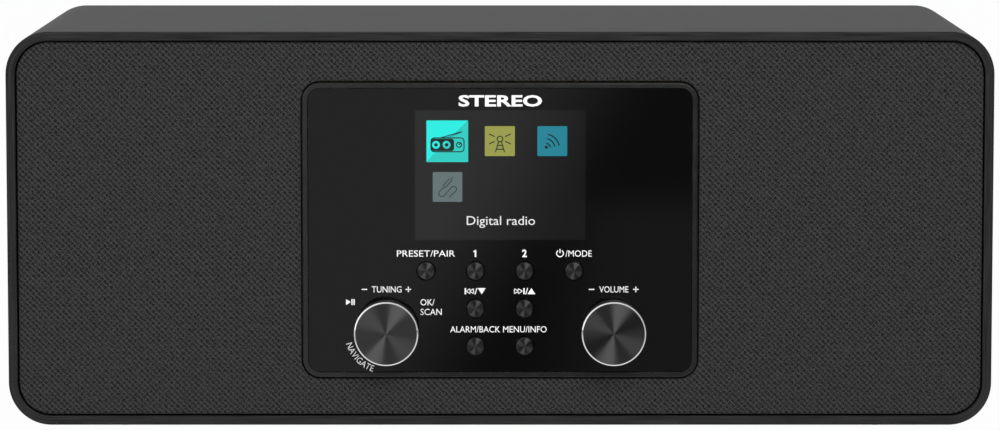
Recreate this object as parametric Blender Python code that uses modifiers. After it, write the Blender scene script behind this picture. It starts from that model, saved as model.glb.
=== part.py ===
"""Tabletop radio with a wooden cabinet, two speakers behind cloth and a control panel.

Run with: blender --background --python part.py

Every piece is drawn about the middle of the cabinet's front lower edge: X to the right, Y from
the cabinet's front edge towards the back, Z up from the cabinet's underside. An empty then sets
the whole radio on the ground, with the origin under the middle of its bounding box.
"""

import math

import bmesh
import bpy

MM = 0.001

# ---------------------------------------------------------------- driving dimensions
CABINET_W = 334 * MM          # across the front
CABINET_H = 134 * MM          # without the feet
CABINET_D = 150 * MM          # front edge to back edge
CORNER_R = 14.5 * MM          # rounded long edges
WALL = 9 * MM                 # board thickness
FRONT_RIM = 3.1 * MM          # wall left in front of the grille
REAR_RIM = 3.5 * MM           # wall left around the back panel
REAR_INSET = 3 * MM           # back panel behind the cabinet's back edge

GAP = 0.3 * MM                # between two pieces that touch
RUNNING_GAP = 0.2 * MM        # around a shaft that turns
SLIDING_GAP = 0.15 * MM       # between two antenna tubes
TRIM_GAP = 0.5 * MM           # dark line around the panel and the grille
THROUGH = 2 * MM              # how far a cutter runs past what it cuts

CORNER_STEPS = 5              # segments in a quarter round
FINE_STEPS = 24               # segments around a large round piece
ROUND_STEPS = 16              # segments around a middling one
COARSE_STEPS = 12             # segments around a small one

# feet
FOOT_R = 6 * MM
FOOT_H = 2.8 * MM
FOOT_IN = 38 * MM             # foot centre from the cabinet's sides
FOOT_SETBACK = 24 * MM        # foot centre from the front and back edges

# grille and baffle, front to back
CLOTH_Y = 1 * MM
CLOTH_T = 0.6 * MM
GRILLE_T = 4 * MM
BAFFLE_T = 8 * MM
SPEAKER_RISE = 3 * MM         # speaker centres above the cabinet's middle
SPEAKER_HOLE_R = 36 * MM

# control panel
PANEL_W = 133.8 * MM
PANEL_H = 100.4 * MM
PANEL_DROP = 0.5 * MM         # middle of the panel below the cabinet's middle
PANEL_R = 6 * MM
PANEL_Y = 0.2 * MM            # front edge of the bezel
BEZEL_RIM = 1.5 * MM
BEZEL_POCKET = 2.3 * MM       # depth that takes the lens
BEZEL_FLOOR = 2 * MM
LENS_T = 1.5 * MM
PANEL_LIP = 3.9 * MM          # baffle that backs the bezel

# display
DISPLAY_W = 69.2 * MM
DISPLAY_H = 50 * MM
DISPLAY_T = 3 * MM
DISPLAY_DOWN = 31.2 * MM      # middle of the display below the panel's top
WINDOW_W = 60 * MM
WINDOW_H = 46 * MM
WINDOW_R = 1 * MM

# buttons
BUTTON_R = 2.95 * MM
BUTTON_PROUD = 1.3 * MM       # in front of the lens
BUTTON_FLANGE = 0.75 * MM     # how far the flange laps its hole
BUTTON_FLANGE_T = 1 * MM
BUTTON_STEM_R = 1.5 * MM
BUTTON_STEM = 3.2 * MM
BUTTON_TRAVEL = 0.6 * MM
BUTTON_PITCH_X = 16.7 * MM
BUTTON_PITCH_Z = 12.85 * MM
BUTTON_DOWN = 63.95 * MM      # top row below the panel's top
SWITCH_W = 6 * MM

# knobs
KNOB_X = 38.5 * MM
KNOB_UP = 15.85 * MM          # knob centres above the panel's bottom
KNOB_R = 10.95 * MM
KNOB_PROUD = 8.5 * MM         # in front of the lens
KNOB_CHAMFER = 0.8 * MM
KNOB_CAP_T = 1.5 * MM
KNOB_LIFT = 1.1 * MM          # space between knob and lens
KNOB_BORE = 4.9 * MM          # depth of the hole for the shaft
SHAFT_R = 3 * MM
BUSHING_WALL = 0.6 * MM
ENCODER_W = 12 * MM
ENCODER_D = 6.5 * MM
SHAFT_IN_ENCODER = 1.8 * MM
PLUNGER_T = 1.5 * MM

# control board, behind the panel
BOARD_T = 1.6 * MM
BOARD_MARGIN = 3 * MM         # around it, inside the baffle's opening

# speakers
FLANGE_LAP = 3 * MM           # flange behind the baffle
FLANGE_LIP = 2.5 * MM         # flange inside the hole, under the surround
FLANGE_T = 1.5 * MM
BASKET_D = 25.5 * MM          # flange front to back plate's back
BASKET_T = 1.2 * MM
BASKET_NECK_R = 21 * MM
MAGNET_R = 28 * MM
MAGNET_T = 15.7 * MM
MAGNET_SLOT = 9.7 * MM        # depth of the voice coil's gap
COIL_R = 12.7 * MM
COIL_T = 0.5 * MM
COIL_GAP = 0.5 * MM           # either side of the coil
SURROUND_W = 5.3 * MM
CONE_T = 0.6 * MM
CONE_D = 13 * MM
COIL_L = 16 * MM
DOME_H = 4 * MM
SURROUND_FOOT = 2 * MM
SURROUND_T = 0.6 * MM
SURROUND_RISE = 1.6 * MM

# back panel and what is fixed to it
BACK_T = 3 * MM
BLOCK = 15 * MM               # corner blocks that take the back panel's screws
BLOCK_D = 30 * MM
SCREW_IN = 6 * MM             # screw centre from the cabinet's inner wall
SCREW_R = 1.3 * MM
SCREW_HEAD_R = 2.8 * MM
SCREW_HEAD_T = 1.8 * MM
SCREW_L = 14 * MM
MAIN_BOARD_W = 100 * MM
MAIN_BOARD_H = 60 * MM
MAIN_BOARD_Z = 57 * MM
BOSS_R = 3 * MM
BOSS_L = 12 * MM
BOSS_IN = 5 * MM              # boss centre from the board's edges
JACK_Z = 43 * MM
DC_JACK_X = 30 * MM
AUX_JACK_X = 0 * MM
HEADPHONE_JACK_X = -30 * MM
DC_JACK_W = 11 * MM
DC_NOSE_R = 4.5 * MM
DC_SOCKET_R = 2.75 * MM
DC_PIN_R = 1 * MM
DC_DEPTH = 9 * MM
AUDIO_JACK_W = 8 * MM
AUDIO_NOSE_R = 3.3 * MM
AUDIO_SOCKET_R = 1.8 * MM
AUDIO_DEPTH = 12 * MM
PORT_IN = 67 * MM             # port centre from the cabinet's side
PORT_Z = 62 * MM
PORT_R = 16 * MM
PORT_T = 2 * MM
PORT_L = 45 * MM
PORT_FLANGE_R = 22 * MM
PORT_FLANGE_T = 2 * MM

# telescopic antenna, folded along the back
ANTENNA_IN = 42 * MM          # swivel centre from the cabinet's side
ANTENNA_DOWN = 18 * MM        # and from its top
WHIP_CLEAR = 1.5 * MM         # between the whip and the cabinet's back edge
FORK_R = 7 * MM
FORK_DISC_T = 2.5 * MM
FORK_STEM_R = 3 * MM
FORK_STEM_L = 8 * MM
FORK_EAR_W = 8 * MM
FORK_SLOT = 6.6 * MM          # space between the ears
FORK_EAR_T = 2.7 * MM
PIN_R = 1.2 * MM
PIN_L = 11.4 * MM
KNUCKLE_R = 3.7 * MM
KNUCKLE_H = 6 * MM
NECK_R = 2.9 * MM
SECTION_START = 8 * MM        # from the elbow pin to the first tube
NECK_L = 8 * MM               # neck inside the first tube
SECTION_L = 150 * MM
SECTION_R = 3.5 * MM
SECTION_WALL = 0.4 * MM
SECTION_COUNT = 5
SECTION_STEP = 4 * MM         # how far each collapsed tube shows
TIP_R = 3.5 * MM
TIP_L = 6 * MM
LEDGE_OUT = 145 * MM          # ledge from the swivel, along the folded whip
LEDGE_W = 8 * MM
LEDGE_T = 2 * MM

# cables
RIBBON_W = 20 * MM
RIBBON_T = 0.6 * MM
RIBBON_SAG = 12 * MM
RIBBON_STEPS = 14
LEAD_R = 1.2 * MM
LEAD_X = 40 * MM              # where the leads meet the main board
LEAD_Z = 62 * MM
LEAD_OUT = 10 * MM            # straight run at each end
LEAD_SAG = 8 * MM
LEAD_STEPS = 12

# ---------------------------------------------------------------- worked out from these
INSIDE_X = CABINET_W / 2 - WALL
INSIDE_TOP = CABINET_H - WALL
FOOT_X = CABINET_W / 2 - FOOT_IN
PORT_X = PORT_IN - CABINET_W / 2
ANTENNA_X = CABINET_W / 2 - ANTENNA_IN
ANTENNA_Z = CABINET_H - ANTENNA_DOWN
LEDGE_X = ANTENNA_X - LEDGE_OUT
PANEL_Z = CABINET_H / 2 - PANEL_DROP
PANEL_TOP = PANEL_Z + PANEL_H / 2
DISPLAY_Z = PANEL_TOP - DISPLAY_DOWN
BUTTON_TOP_Z = PANEL_TOP - BUTTON_DOWN
KNOB_Z = PANEL_Z - PANEL_H / 2 + KNOB_UP
SPEAKER_X = (PANEL_W / 2 + INSIDE_X) / 2
SPEAKER_Z = CABINET_H / 2 + SPEAKER_RISE
FLANGE_R = SPEAKER_HOLE_R + FLANGE_LAP
FLANGE_IN_R = SPEAKER_HOLE_R - FLANGE_LIP
CONE_R = SPEAKER_HOLE_R - SURROUND_W - 2 * GAP
BUTTON_HOLE_R = BUTTON_R + GAP
BUTTON_FLANGE_R = BUTTON_HOLE_R + BUTTON_FLANGE
BUSHING_R = SHAFT_R + RUNNING_GAP + BUSHING_WALL
BUSHING_HOLE_R = BUSHING_R + GAP
PLUNGER_R = SHAFT_R - RUNNING_GAP
CONTROL_BOARD_W = PANEL_W - 2 * (PANEL_LIP + BOARD_MARGIN)
CONTROL_BOARD_H = PANEL_H - 2 * (PANEL_LIP + BOARD_MARGIN)
GRILLE_Y = CLOTH_Y + CLOTH_T + GAP
BAFFLE_Y = GRILLE_Y + GRILLE_T + GAP
BAFFLE_BACK = BAFFLE_Y + BAFFLE_T
FRONT_STEP = BAFFLE_BACK + GAP
LENS_Y = PANEL_Y + TRIM_GAP
FLOOR_Y = PANEL_Y + BEZEL_POCKET
FLOOR_BACK = FLOOR_Y + BEZEL_FLOOR
DISPLAY_Y = FLOOR_BACK + GAP
ENCODER_Y = FLOOR_BACK + 4 * GAP
CONTROL_BOARD_Y = ENCODER_Y + ENCODER_D + GAP
KNOB_FACE_Y = LENS_Y - KNOB_PROUD
KNOB_BACK_Y = LENS_Y - KNOB_LIFT
KNOB_BODY_Y = KNOB_FACE_Y + KNOB_CAP_T + GAP
SHAFT_Y = KNOB_BACK_Y - KNOB_BORE + GAP
SHAFT_END_Y = ENCODER_Y + SHAFT_IN_ENCODER
SPEAKER_Y = BAFFLE_BACK + GAP
BACK_OUT_Y = CABINET_D - REAR_INSET
BACK_Y = BACK_OUT_Y - BACK_T
REAR_STEP = BACK_Y - GAP
MAIN_BOARD_Y = BACK_Y - BOSS_L - GAP - BOARD_T
JACK_Y = MAIN_BOARD_Y + BOARD_T + GAP
JACK_FRONT = BACK_Y - GAP
WHIP_Y = CABINET_D + WHIP_CLEAR + SECTION_R
FORK_Y = BACK_OUT_Y + GAP
FORK_BACK = WHIP_Y + FORK_EAR_W / 2
RADIO_MID_Y = (KNOB_FACE_Y + FORK_BACK) / 2

FACING_FRONT = (math.pi / 2, 0, 0)     # local Z points out of the front, local Y points up
ALONG_WHIP = (0, -math.pi / 2, 0)      # local Z points along the folded whip
UPRIGHT = (0, 0, 0)


# ---------------------------------------------------------------- scene and helpers
for old in list(bpy.data.objects):
    bpy.data.objects.remove(old, do_unlink=True)

PARTS = bpy.data.collections.new("tabletop_radio")
CUTTERS = bpy.data.collections.new("cutters")
for collection in (PARTS, CUTTERS):
    bpy.context.scene.collection.children.link(collection)

ORIGIN = bpy.data.objects.new("radio_origin", None)
ORIGIN.location = (0, -RADIO_MID_Y, FOOT_H)
PARTS.objects.link(ORIGIN)


def finish_named(name, colour, roughness, metallic=0.0):
    """A Principled material with one colour."""
    made = bpy.data.materials.new(name)
    made.use_nodes = True
    shader = made.node_tree.nodes["Principled BSDF"]
    shader.inputs["Base Color"].default_value = (*colour, 1.0)
    shader.inputs["Roughness"].default_value = roughness
    shader.inputs["Metallic"].default_value = metallic
    made.diffuse_color = (*colour, 1.0)
    return made


BLACK_WOOD = finish_named("black_wood", (0.030, 0.030, 0.031), 0.45)
RAW_BOARD = finish_named("raw_board", (0.30, 0.22, 0.14), 0.85)
CLOTH = finish_named("cloth", (0.035, 0.035, 0.035), 0.95)
BLACK_PLASTIC = finish_named("black_plastic", (0.022, 0.022, 0.023), 0.35)
CLEAR_BLACK = finish_named("clear_black", (0.012, 0.012, 0.013), 0.08)
SCREEN = finish_named("screen", (0.02, 0.06, 0.06), 0.2)
CIRCUIT_BOARD = finish_named("circuit_board", (0.02, 0.10, 0.05), 0.5)
SPUN_METAL = finish_named("spun_metal", (0.45, 0.45, 0.46), 0.25, 1.0)
STEEL = finish_named("steel", (0.50, 0.50, 0.50), 0.35, 1.0)
CHROME = finish_named("chrome", (0.75, 0.75, 0.76), 0.12, 1.0)
RUBBER = finish_named("rubber", (0.02, 0.02, 0.02), 0.8)
PAPER = finish_named("paper_cone", (0.05, 0.05, 0.05), 0.9)
CABLE = finish_named("cable", (0.45, 0.45, 0.45), 0.5)


def add_object(name, data, where=(0, 0, 0), turn=UPRIGHT):
    """A new part under the radio's origin."""
    made = bpy.data.objects.new(name, data)
    made.location = where
    made.rotation_euler = turn
    made.parent = ORIGIN
    PARTS.objects.link(made)
    return made


def set_finish(part, finish):
    """Give a part its material."""
    part.data.materials.clear()
    part.data.materials.append(finish)
    return part


def smooth(part):
    """Shade a mesh part smooth, with its edges kept sharp."""
    part.data.shade_smooth()
    part.data.set_sharp_from_angle(angle=math.radians(35))
    return part


def circle(x, z, radius, steps=ROUND_STEPS):
    """Points around a circle, as (x, z)."""
    turns = [2 * math.pi * (i + 0.5) / steps for i in range(steps)]
    return [(x + radius * math.cos(a), z + radius * math.sin(a)) for a in turns]


def rounded_rectangle(width, height, radius, x=0.0, z=0.0):
    """Points around a rectangle with quarter-round corners, as (x, z)."""
    points = []
    corners = ((1, 1, 0), (-1, 1, 1), (-1, -1, 2), (1, -1, 3))
    for side_x, side_z, quarter in corners:
        for i in range(CORNER_STEPS + 1):
            a = math.pi / 2 * (quarter + i / CORNER_STEPS)
            points.append((x + side_x * (width / 2 - radius) + radius * math.cos(a),
                           z + side_z * (height / 2 - radius) + radius * math.sin(a)))
    return points


def cabinet_outline(inset):
    """The cabinet's front outline, moved in by inset."""
    return rounded_rectangle(CABINET_W - 2 * inset, CABINET_H - 2 * inset,
                             CORNER_R - inset, 0, CABINET_H / 2)


def panel_outline(inset):
    """The control panel's outline, moved in by inset; a negative inset is outside it."""
    return rounded_rectangle(PANEL_W - 2 * inset, PANEL_H - 2 * inset,
                             max(PANEL_R - inset, 1 * MM), 0, PANEL_Z)


def plate(name, outlines, front, back, finish):
    """A flat plate from Y front to Y back; outlines after the first are its holes."""
    curve = bpy.data.curves.new(name, "CURVE")
    curve.dimensions = "2D"
    curve.fill_mode = "BOTH"
    curve.extrude = (back - front) / 2
    for outline in outlines:
        spline = curve.splines.new("POLY")
        spline.points.add(len(outline) - 1)
        for point, (x, z) in zip(spline.points, outline):
            point.co = (x, z, 0, 1)
        spline.use_cyclic_u = True
    made = add_object(name, curve, (0, (front + back) / 2, 0), FACING_FRONT)
    return set_finish(made, finish)


def as_mesh(part):
    """Turn a curve part into a welded mesh part that takes Booleans."""
    bpy.context.view_layer.update()
    evaluated = part.evaluated_get(bpy.context.evaluated_depsgraph_get())
    mesh = bpy.data.meshes.new_from_object(evaluated)
    work = bmesh.new()
    work.from_mesh(mesh)
    bmesh.ops.remove_doubles(work, verts=work.verts, dist=1e-6)
    work.to_mesh(mesh)
    work.free()
    name = part.name
    where = tuple(part.location)
    turn = tuple(part.rotation_euler)
    bpy.data.objects.remove(part, do_unlink=True)
    return add_object(name, mesh, where, turn)


def turned(name, profile, x, z, finish, steps=FINE_STEPS, closed=False):
    """A piece turned about a front-to-back axis at (x, z).

    profile holds (radius, y) and runs front to back along the outer side. An open profile
    starts and ends on the axis; a closed one is a ring.
    """
    points = [(radius, -y) for radius, y in profile]
    return lathe(name, points, (x, 0, z), FACING_FRONT, finish, steps, closed)


def lathe(name, points, where, turn, finish, steps=FINE_STEPS, closed=False):
    """A Screw modifier on a profile of (radius, height) about the local Z axis."""
    mesh = bpy.data.meshes.new(name)
    edges = [(i, i + 1) for i in range(len(points) - 1)]
    if closed:
        edges.append((len(points) - 1, 0))
    mesh.from_pydata([(radius, 0, height) for radius, height in points], edges, [])
    made = add_object(name, mesh, where, turn)
    screw = made.modifiers.new("turn", "SCREW")
    screw.steps = steps
    screw.render_steps = steps
    screw.use_merge_vertices = True
    screw.merge_threshold = 1e-5
    screw.use_smooth_shade = False
    return set_finish(made, finish)


def box(name, x_range, y_range, z_range, finish=None):
    """A block between two values on each axis."""
    mesh = bpy.data.meshes.new(name)
    work = bmesh.new()
    bmesh.ops.create_cube(work, size=1)
    sizes = [high - low for low, high in (x_range, y_range, z_range)]
    middles = [(high + low) / 2 for low, high in (x_range, y_range, z_range)]
    bmesh.ops.scale(work, vec=sizes, verts=work.verts)
    work.to_mesh(mesh)
    work.free()
    made = add_object(name, mesh, middles)
    return set_finish(made, finish) if finish else made


def centred(middle, width):
    """The low and high end of a width about its middle."""
    return (middle - width / 2, middle + width / 2)


def cylinder(name, where, radius, length, turn=FACING_FRONT, steps=ROUND_STEPS, finish=None):
    """A cylinder about the point where, its axis along the turned local Z."""
    mesh = bpy.data.meshes.new(name)
    work = bmesh.new()
    bmesh.ops.create_cone(work, cap_ends=True, segments=steps, radius1=radius,
                          radius2=radius, depth=length)
    work.to_mesh(mesh)
    work.free()
    made = add_object(name, mesh, where, turn)
    return set_finish(made, finish) if finish else made


def combine(part, tool, operation):
    """Boolean a part with a tool, which moves to the cutters."""
    PARTS.objects.unlink(tool)
    CUTTERS.objects.link(tool)
    tool.hide_render = True
    tool.display_type = "WIRE"
    boolean = part.modifiers.new(tool.name, "BOOLEAN")
    boolean.operation = operation
    boolean.solver = "EXACT"
    boolean.object = tool
    return part


def bore(part, name, where, radius, length, turn=FACING_FRONT, steps=ROUND_STEPS):
    """Cut a round hole."""
    return combine(part, cylinder(name, where, radius, length, turn, steps), "DIFFERENCE")


def bore_through(part, holes, front, back):
    """Cut round holes, each (x, z, radius, steps), through a plate from Y front to Y back."""
    for i, (x, z, radius, steps) in enumerate(holes):
        bore(part, f"{part.name}_hole_{i}", (x, (front + back) / 2, z), radius,
             back - front + 2 * THROUGH, steps=steps)
    return part


# ---------------------------------------------------------------- cabinet
def screw_places():
    """(x, z) of the back panel's screws: the corners, and the middle of top and bottom."""
    out = INSIDE_X - SCREW_IN
    return [(x, z) for x in (-out, 0.0, out) for z in (WALL + SCREW_IN, INSIDE_TOP - SCREW_IN)]


def make_cabinet():
    """A tube of board with a rebate at each end and blocks for the back panel's screws."""
    cabinet = as_mesh(plate("cabinet", [cabinet_outline(0), cabinet_outline(WALL)],
                            0, CABINET_D, BLACK_WOOD))
    bury = 1 * MM
    for i, (x, z) in enumerate(screw_places()):
        half = BLOCK / 2
        if x:
            wall_x = math.copysign(INSIDE_X + bury, x)
            x_range = sorted((wall_x, math.copysign(INSIDE_X - BLOCK, x)))
        else:
            x_range = (-half, half)
        if z < CABINET_H / 2:
            z_range = (WALL - bury, WALL + BLOCK)
        else:
            z_range = (INSIDE_TOP - BLOCK, INSIDE_TOP + bury)
        block = box(f"block_{i}", x_range, (REAR_STEP - BLOCK_D, REAR_STEP), z_range)
        combine(cabinet, block, "UNION")
        depth = SCREW_L + GAP
        bore(cabinet, f"pilot_{i}", (x, REAR_STEP - depth / 2, z), SCREW_R + GAP,
             depth + THROUGH, steps=COARSE_STEPS)
    front = plate("front_rebate", [cabinet_outline(FRONT_RIM)], -THROUGH, FRONT_STEP, BLACK_WOOD)
    rear = plate("rear_rebate", [cabinet_outline(REAR_RIM)], REAR_STEP,
                 CABINET_D + THROUGH, BLACK_WOOD)
    for tool in (front, rear):
        combine(cabinet, as_mesh(tool), "DIFFERENCE")
    return set_finish(cabinet, BLACK_WOOD)


def make_feet():
    """Four rubber feet."""
    for side, x in (("left", -FOOT_X), ("right", FOOT_X)):
        for end, y in (("front", FOOT_SETBACK), ("rear", CABINET_D - FOOT_SETBACK)):
            height = FOOT_H - GAP
            cylinder(f"foot_{end}_{side}", (x, y, -GAP - height / 2), FOOT_R, height,
                     UPRIGHT, ROUND_STEPS, RUBBER)


# ---------------------------------------------------------------- front
def speaker_holes():
    """One circle for each speaker."""
    return [circle(x, SPEAKER_Z, SPEAKER_HOLE_R, FINE_STEPS) for x in (-SPEAKER_X, SPEAKER_X)]


def make_front():
    """The baffle, the grille frame in front of it, and the cloth in front of that."""
    plate("front_baffle", [cabinet_outline(FRONT_RIM + GAP), panel_outline(PANEL_LIP)]
          + speaker_holes(), BAFFLE_Y, BAFFLE_BACK, RAW_BOARD)
    edge = cabinet_outline(FRONT_RIM + TRIM_GAP)
    window = panel_outline(-TRIM_GAP)
    plate("grille_frame", [edge, window] + speaker_holes(), GRILLE_Y, GRILLE_Y + GRILLE_T,
          BLACK_PLASTIC)
    plate("grille_cloth", [edge, window], CLOTH_Y, CLOTH_Y + CLOTH_T, CLOTH)


def button_places():
    """Name and (x, z) of each button."""
    near = BUTTON_PITCH_X / 2
    far = near + BUTTON_PITCH_X
    rows = [BUTTON_TOP_Z - row * BUTTON_PITCH_Z for row in range(3)]
    return {"button_preset": (-far, rows[0]), "button_1": (-near, rows[0]),
            "button_2": (near, rows[0]), "button_mode": (far, rows[0]),
            "button_previous": (-near, rows[1]), "button_next": (near, rows[1]),
            "button_alarm": (-near, rows[2]), "button_menu": (near, rows[2])}


def panel_holes():
    """Holes for the buttons and for the two encoders' bushings, as (x, z, radius, steps)."""
    holes = [(x, z, BUTTON_HOLE_R, COARSE_STEPS) for x, z in button_places().values()]
    return holes + [(x, KNOB_Z, BUSHING_HOLE_R, ROUND_STEPS) for x in (-KNOB_X, KNOB_X)]


def make_panel():
    """The bezel, a tray that takes the lens in front and the display behind."""
    bezel = as_mesh(plate("panel_bezel", [panel_outline(0)], PANEL_Y, FLOOR_BACK,
                          BLACK_PLASTIC))
    pocket = plate("lens_pocket", [panel_outline(BEZEL_RIM)], PANEL_Y - THROUGH, FLOOR_Y,
                   BLACK_PLASTIC)
    window = plate("window", [rounded_rectangle(WINDOW_W, WINDOW_H, WINDOW_R, 0, DISPLAY_Z)],
                   FLOOR_Y - THROUGH / 2, FLOOR_BACK + THROUGH, BLACK_PLASTIC)
    for tool in (pocket, window):
        combine(bezel, as_mesh(tool), "DIFFERENCE")
    set_finish(bore_through(bezel, panel_holes(), FLOOR_Y, FLOOR_BACK), BLACK_PLASTIC)
    lens_back = LENS_Y + LENS_T
    lens = as_mesh(plate("panel_lens", [panel_outline(BEZEL_RIM + GAP)], LENS_Y, lens_back,
                         CLEAR_BLACK))
    set_finish(bore_through(lens, panel_holes(), LENS_Y, lens_back), CLEAR_BLACK)
    box("display_module", centred(0, DISPLAY_W), (DISPLAY_Y, DISPLAY_Y + DISPLAY_T),
        centred(DISPLAY_Z, DISPLAY_H), SCREEN)


def make_buttons():
    """Eight round push buttons, each with a flange behind the bezel and a stem."""
    face = LENS_Y - BUTTON_PROUD
    flange = FLOOR_BACK + GAP
    flange_back = flange + BUTTON_FLANGE_T
    stem_end = flange_back + BUTTON_STEM
    profile = [(0, face), (BUTTON_R, face), (BUTTON_R, flange), (BUTTON_FLANGE_R, flange),
               (BUTTON_FLANGE_R, flange_back), (BUTTON_STEM_R, flange_back),
               (BUTTON_STEM_R, stem_end), (0, stem_end)]
    for name, (x, z) in button_places().items():
        turned(name, profile, x, z, SPUN_METAL, COARSE_STEPS)
    return stem_end


def make_control_board(stem_end):
    """The circuit board behind the panel, with a switch behind each button."""
    board = box("control_board", centred(0, CONTROL_BOARD_W),
                (CONTROL_BOARD_Y, CONTROL_BOARD_Y + BOARD_T),
                centred(PANEL_Z, CONTROL_BOARD_H))
    switch_front = stem_end + BUTTON_TRAVEL + GAP
    for name, (x, z) in button_places().items():
        switch = box(f"{name}_switch", centred(x, SWITCH_W),
                     (switch_front, CONTROL_BOARD_Y + BOARD_T / 2), centred(z, SWITCH_W))
        combine(board, switch, "UNION")
    return set_finish(board, CIRCUIT_BOARD)


def make_knob(name, x):
    """A knob: plastic body, spun metal cap and the encoder's shaft, which turn together."""
    face, back = KNOB_FACE_Y, KNOB_BACK_Y
    rim = KNOB_R - KNOB_CHAMFER
    cap_back = face + KNOB_CAP_T
    turned(f"{name}_knob_cap", [(0, face), (rim, face), (KNOB_R, face + KNOB_CHAMFER),
                                (KNOB_R, cap_back), (0, cap_back)], x, KNOB_Z, SPUN_METAL)
    hole = SHAFT_R + GAP
    turned(f"{name}_knob", [(0, KNOB_BODY_Y), (KNOB_R, KNOB_BODY_Y), (KNOB_R, back),
                            (hole, back), (hole, back - KNOB_BORE), (0, back - KNOB_BORE)],
           x, KNOB_Z, BLACK_PLASTIC)
    turned(f"{name}_shaft", [(0, SHAFT_Y), (SHAFT_R, SHAFT_Y), (SHAFT_R, SHAFT_END_Y),
                             (0, SHAFT_END_Y)], x, KNOB_Z, STEEL, ROUND_STEPS)


def make_encoder(name, x):
    """The rotary encoder: a square body and a round bushing, with a bore for the shaft."""
    body = box(f"{name}_encoder", centred(x, ENCODER_W), (ENCODER_Y, ENCODER_Y + ENCODER_D),
               centred(KNOB_Z, ENCODER_W))
    bushing_front = LENS_Y + GAP
    bushing_back = ENCODER_Y + ENCODER_D / 2
    bushing = cylinder(f"{name}_bushing", (x, (bushing_front + bushing_back) / 2, KNOB_Z),
                       BUSHING_R, bushing_back - bushing_front)
    combine(body, bushing, "UNION")
    middle = (bushing_front + ENCODER_Y + ENCODER_D) / 2
    length = ENCODER_Y + ENCODER_D - bushing_front + 2 * THROUGH
    bore(body, f"{name}_bore", (x, middle, KNOB_Z), SHAFT_R + RUNNING_GAP, length)
    return set_finish(body, STEEL)


def make_plunger():
    """The push switch's plunger behind the tuning shaft."""
    front = SHAFT_END_Y + GAP
    turned("tuning_plunger", [(0, front), (PLUNGER_R, front), (PLUNGER_R, front + PLUNGER_T),
                              (0, front + PLUNGER_T)], -KNOB_X, KNOB_Z, BLACK_PLASTIC,
           COARSE_STEPS)


# ---------------------------------------------------------------- speakers
def basket_profile():
    """Steel basket: a flange, a sloping wall and a back plate with a hole for the coil."""
    front = SPEAKER_Y
    back = front + BASKET_D
    waist = front + 6 * MM
    hole = COIL_R + 1.5 * MM
    outer = [(FLANGE_R, front), (FLANGE_R, front + FLANGE_T), (FLANGE_R - 2 * MM, front + FLANGE_T),
             (FLANGE_R - 2 * MM, waist), (BASKET_NECK_R, back - BASKET_T), (BASKET_NECK_R, back)]
    inner = [(hole, back), (hole, back - BASKET_T), (BASKET_NECK_R - BASKET_T, back - BASKET_T),
             (FLANGE_R - 2 * MM - BASKET_T, waist), (FLANGE_R - 2 * MM - BASKET_T, front + FLANGE_T),
             (FLANGE_IN_R, front + FLANGE_T), (FLANGE_IN_R, front)]
    return outer + inner


def magnet_profile():
    """Magnet and plates, with a ring-shaped gap in front for the voice coil."""
    front = SPEAKER_Y + BASKET_D + GAP
    back = front + MAGNET_T
    slot = front + MAGNET_SLOT
    inside = COIL_R - COIL_T - COIL_GAP
    outside = COIL_R + COIL_GAP
    return [(0, front), (inside, front), (inside, slot), (outside, slot), (outside, front),
            (MAGNET_R, front), (MAGNET_R, back), (0, back)]


def cone_profile():
    """Paper cone with its dust cap in front and the voice coil's former behind."""
    lip = BAFFLE_BACK - CONE_T
    neck = lip + CONE_D
    end = neck + COIL_L
    inside = COIL_R - COIL_T
    dome = [(COIL_R * math.sin(a), neck - DOME_H * math.cos(a))
            for a in (math.pi / 2 * i / 4 for i in range(5))]
    back_dome = [(inside * math.sin(a), neck + CONE_T - (DOME_H - CONE_T) * math.cos(a))
                 for a in (math.pi / 2 * i / 4 for i in range(4, -1, -1))]
    outer = [(CONE_R, lip), (CONE_R, lip + CONE_T), (COIL_R, neck + 2 * CONE_T), (COIL_R, end)]
    return dome + outer + [(inside, end)] + back_dome


def surround_profile():
    """Rubber half roll between the cone's lip and the basket's flange."""
    foot_back = BAFFLE_BACK
    foot_front = foot_back - SURROUND_T
    inside = CONE_R + GAP
    outside = SPEAKER_HOLE_R - GAP
    valley = outside - SURROUND_FOOT
    crest = (inside + valley) / 2
    half = (valley - inside) / 2
    arch = [math.pi * i / 4 for i in range(1, 4)]
    front = [(crest - half * math.cos(a), foot_front - SURROUND_RISE * math.sin(a)) for a in arch]
    back = [(crest + (half - SURROUND_T) * math.cos(a),
             foot_back - SURROUND_RISE * math.sin(a)) for a in arch]
    return ([(inside, foot_front)] + front
            + [(valley, foot_front), (outside, foot_front), (outside, foot_back),
               (valley - SURROUND_T, foot_back)]
            + back + [(inside, foot_back)])


def make_speaker(side, x):
    """One full-range speaker in four pieces."""
    turned(f"{side}_speaker_basket", basket_profile(), x, SPEAKER_Z, STEEL, closed=True)
    turned(f"{side}_speaker_magnet", magnet_profile(), x, SPEAKER_Z, STEEL)
    turned(f"{side}_speaker_cone", cone_profile(), x, SPEAKER_Z, PAPER)
    turned(f"{side}_speaker_surround", surround_profile(), x, SPEAKER_Z, RUBBER, closed=True)


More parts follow.
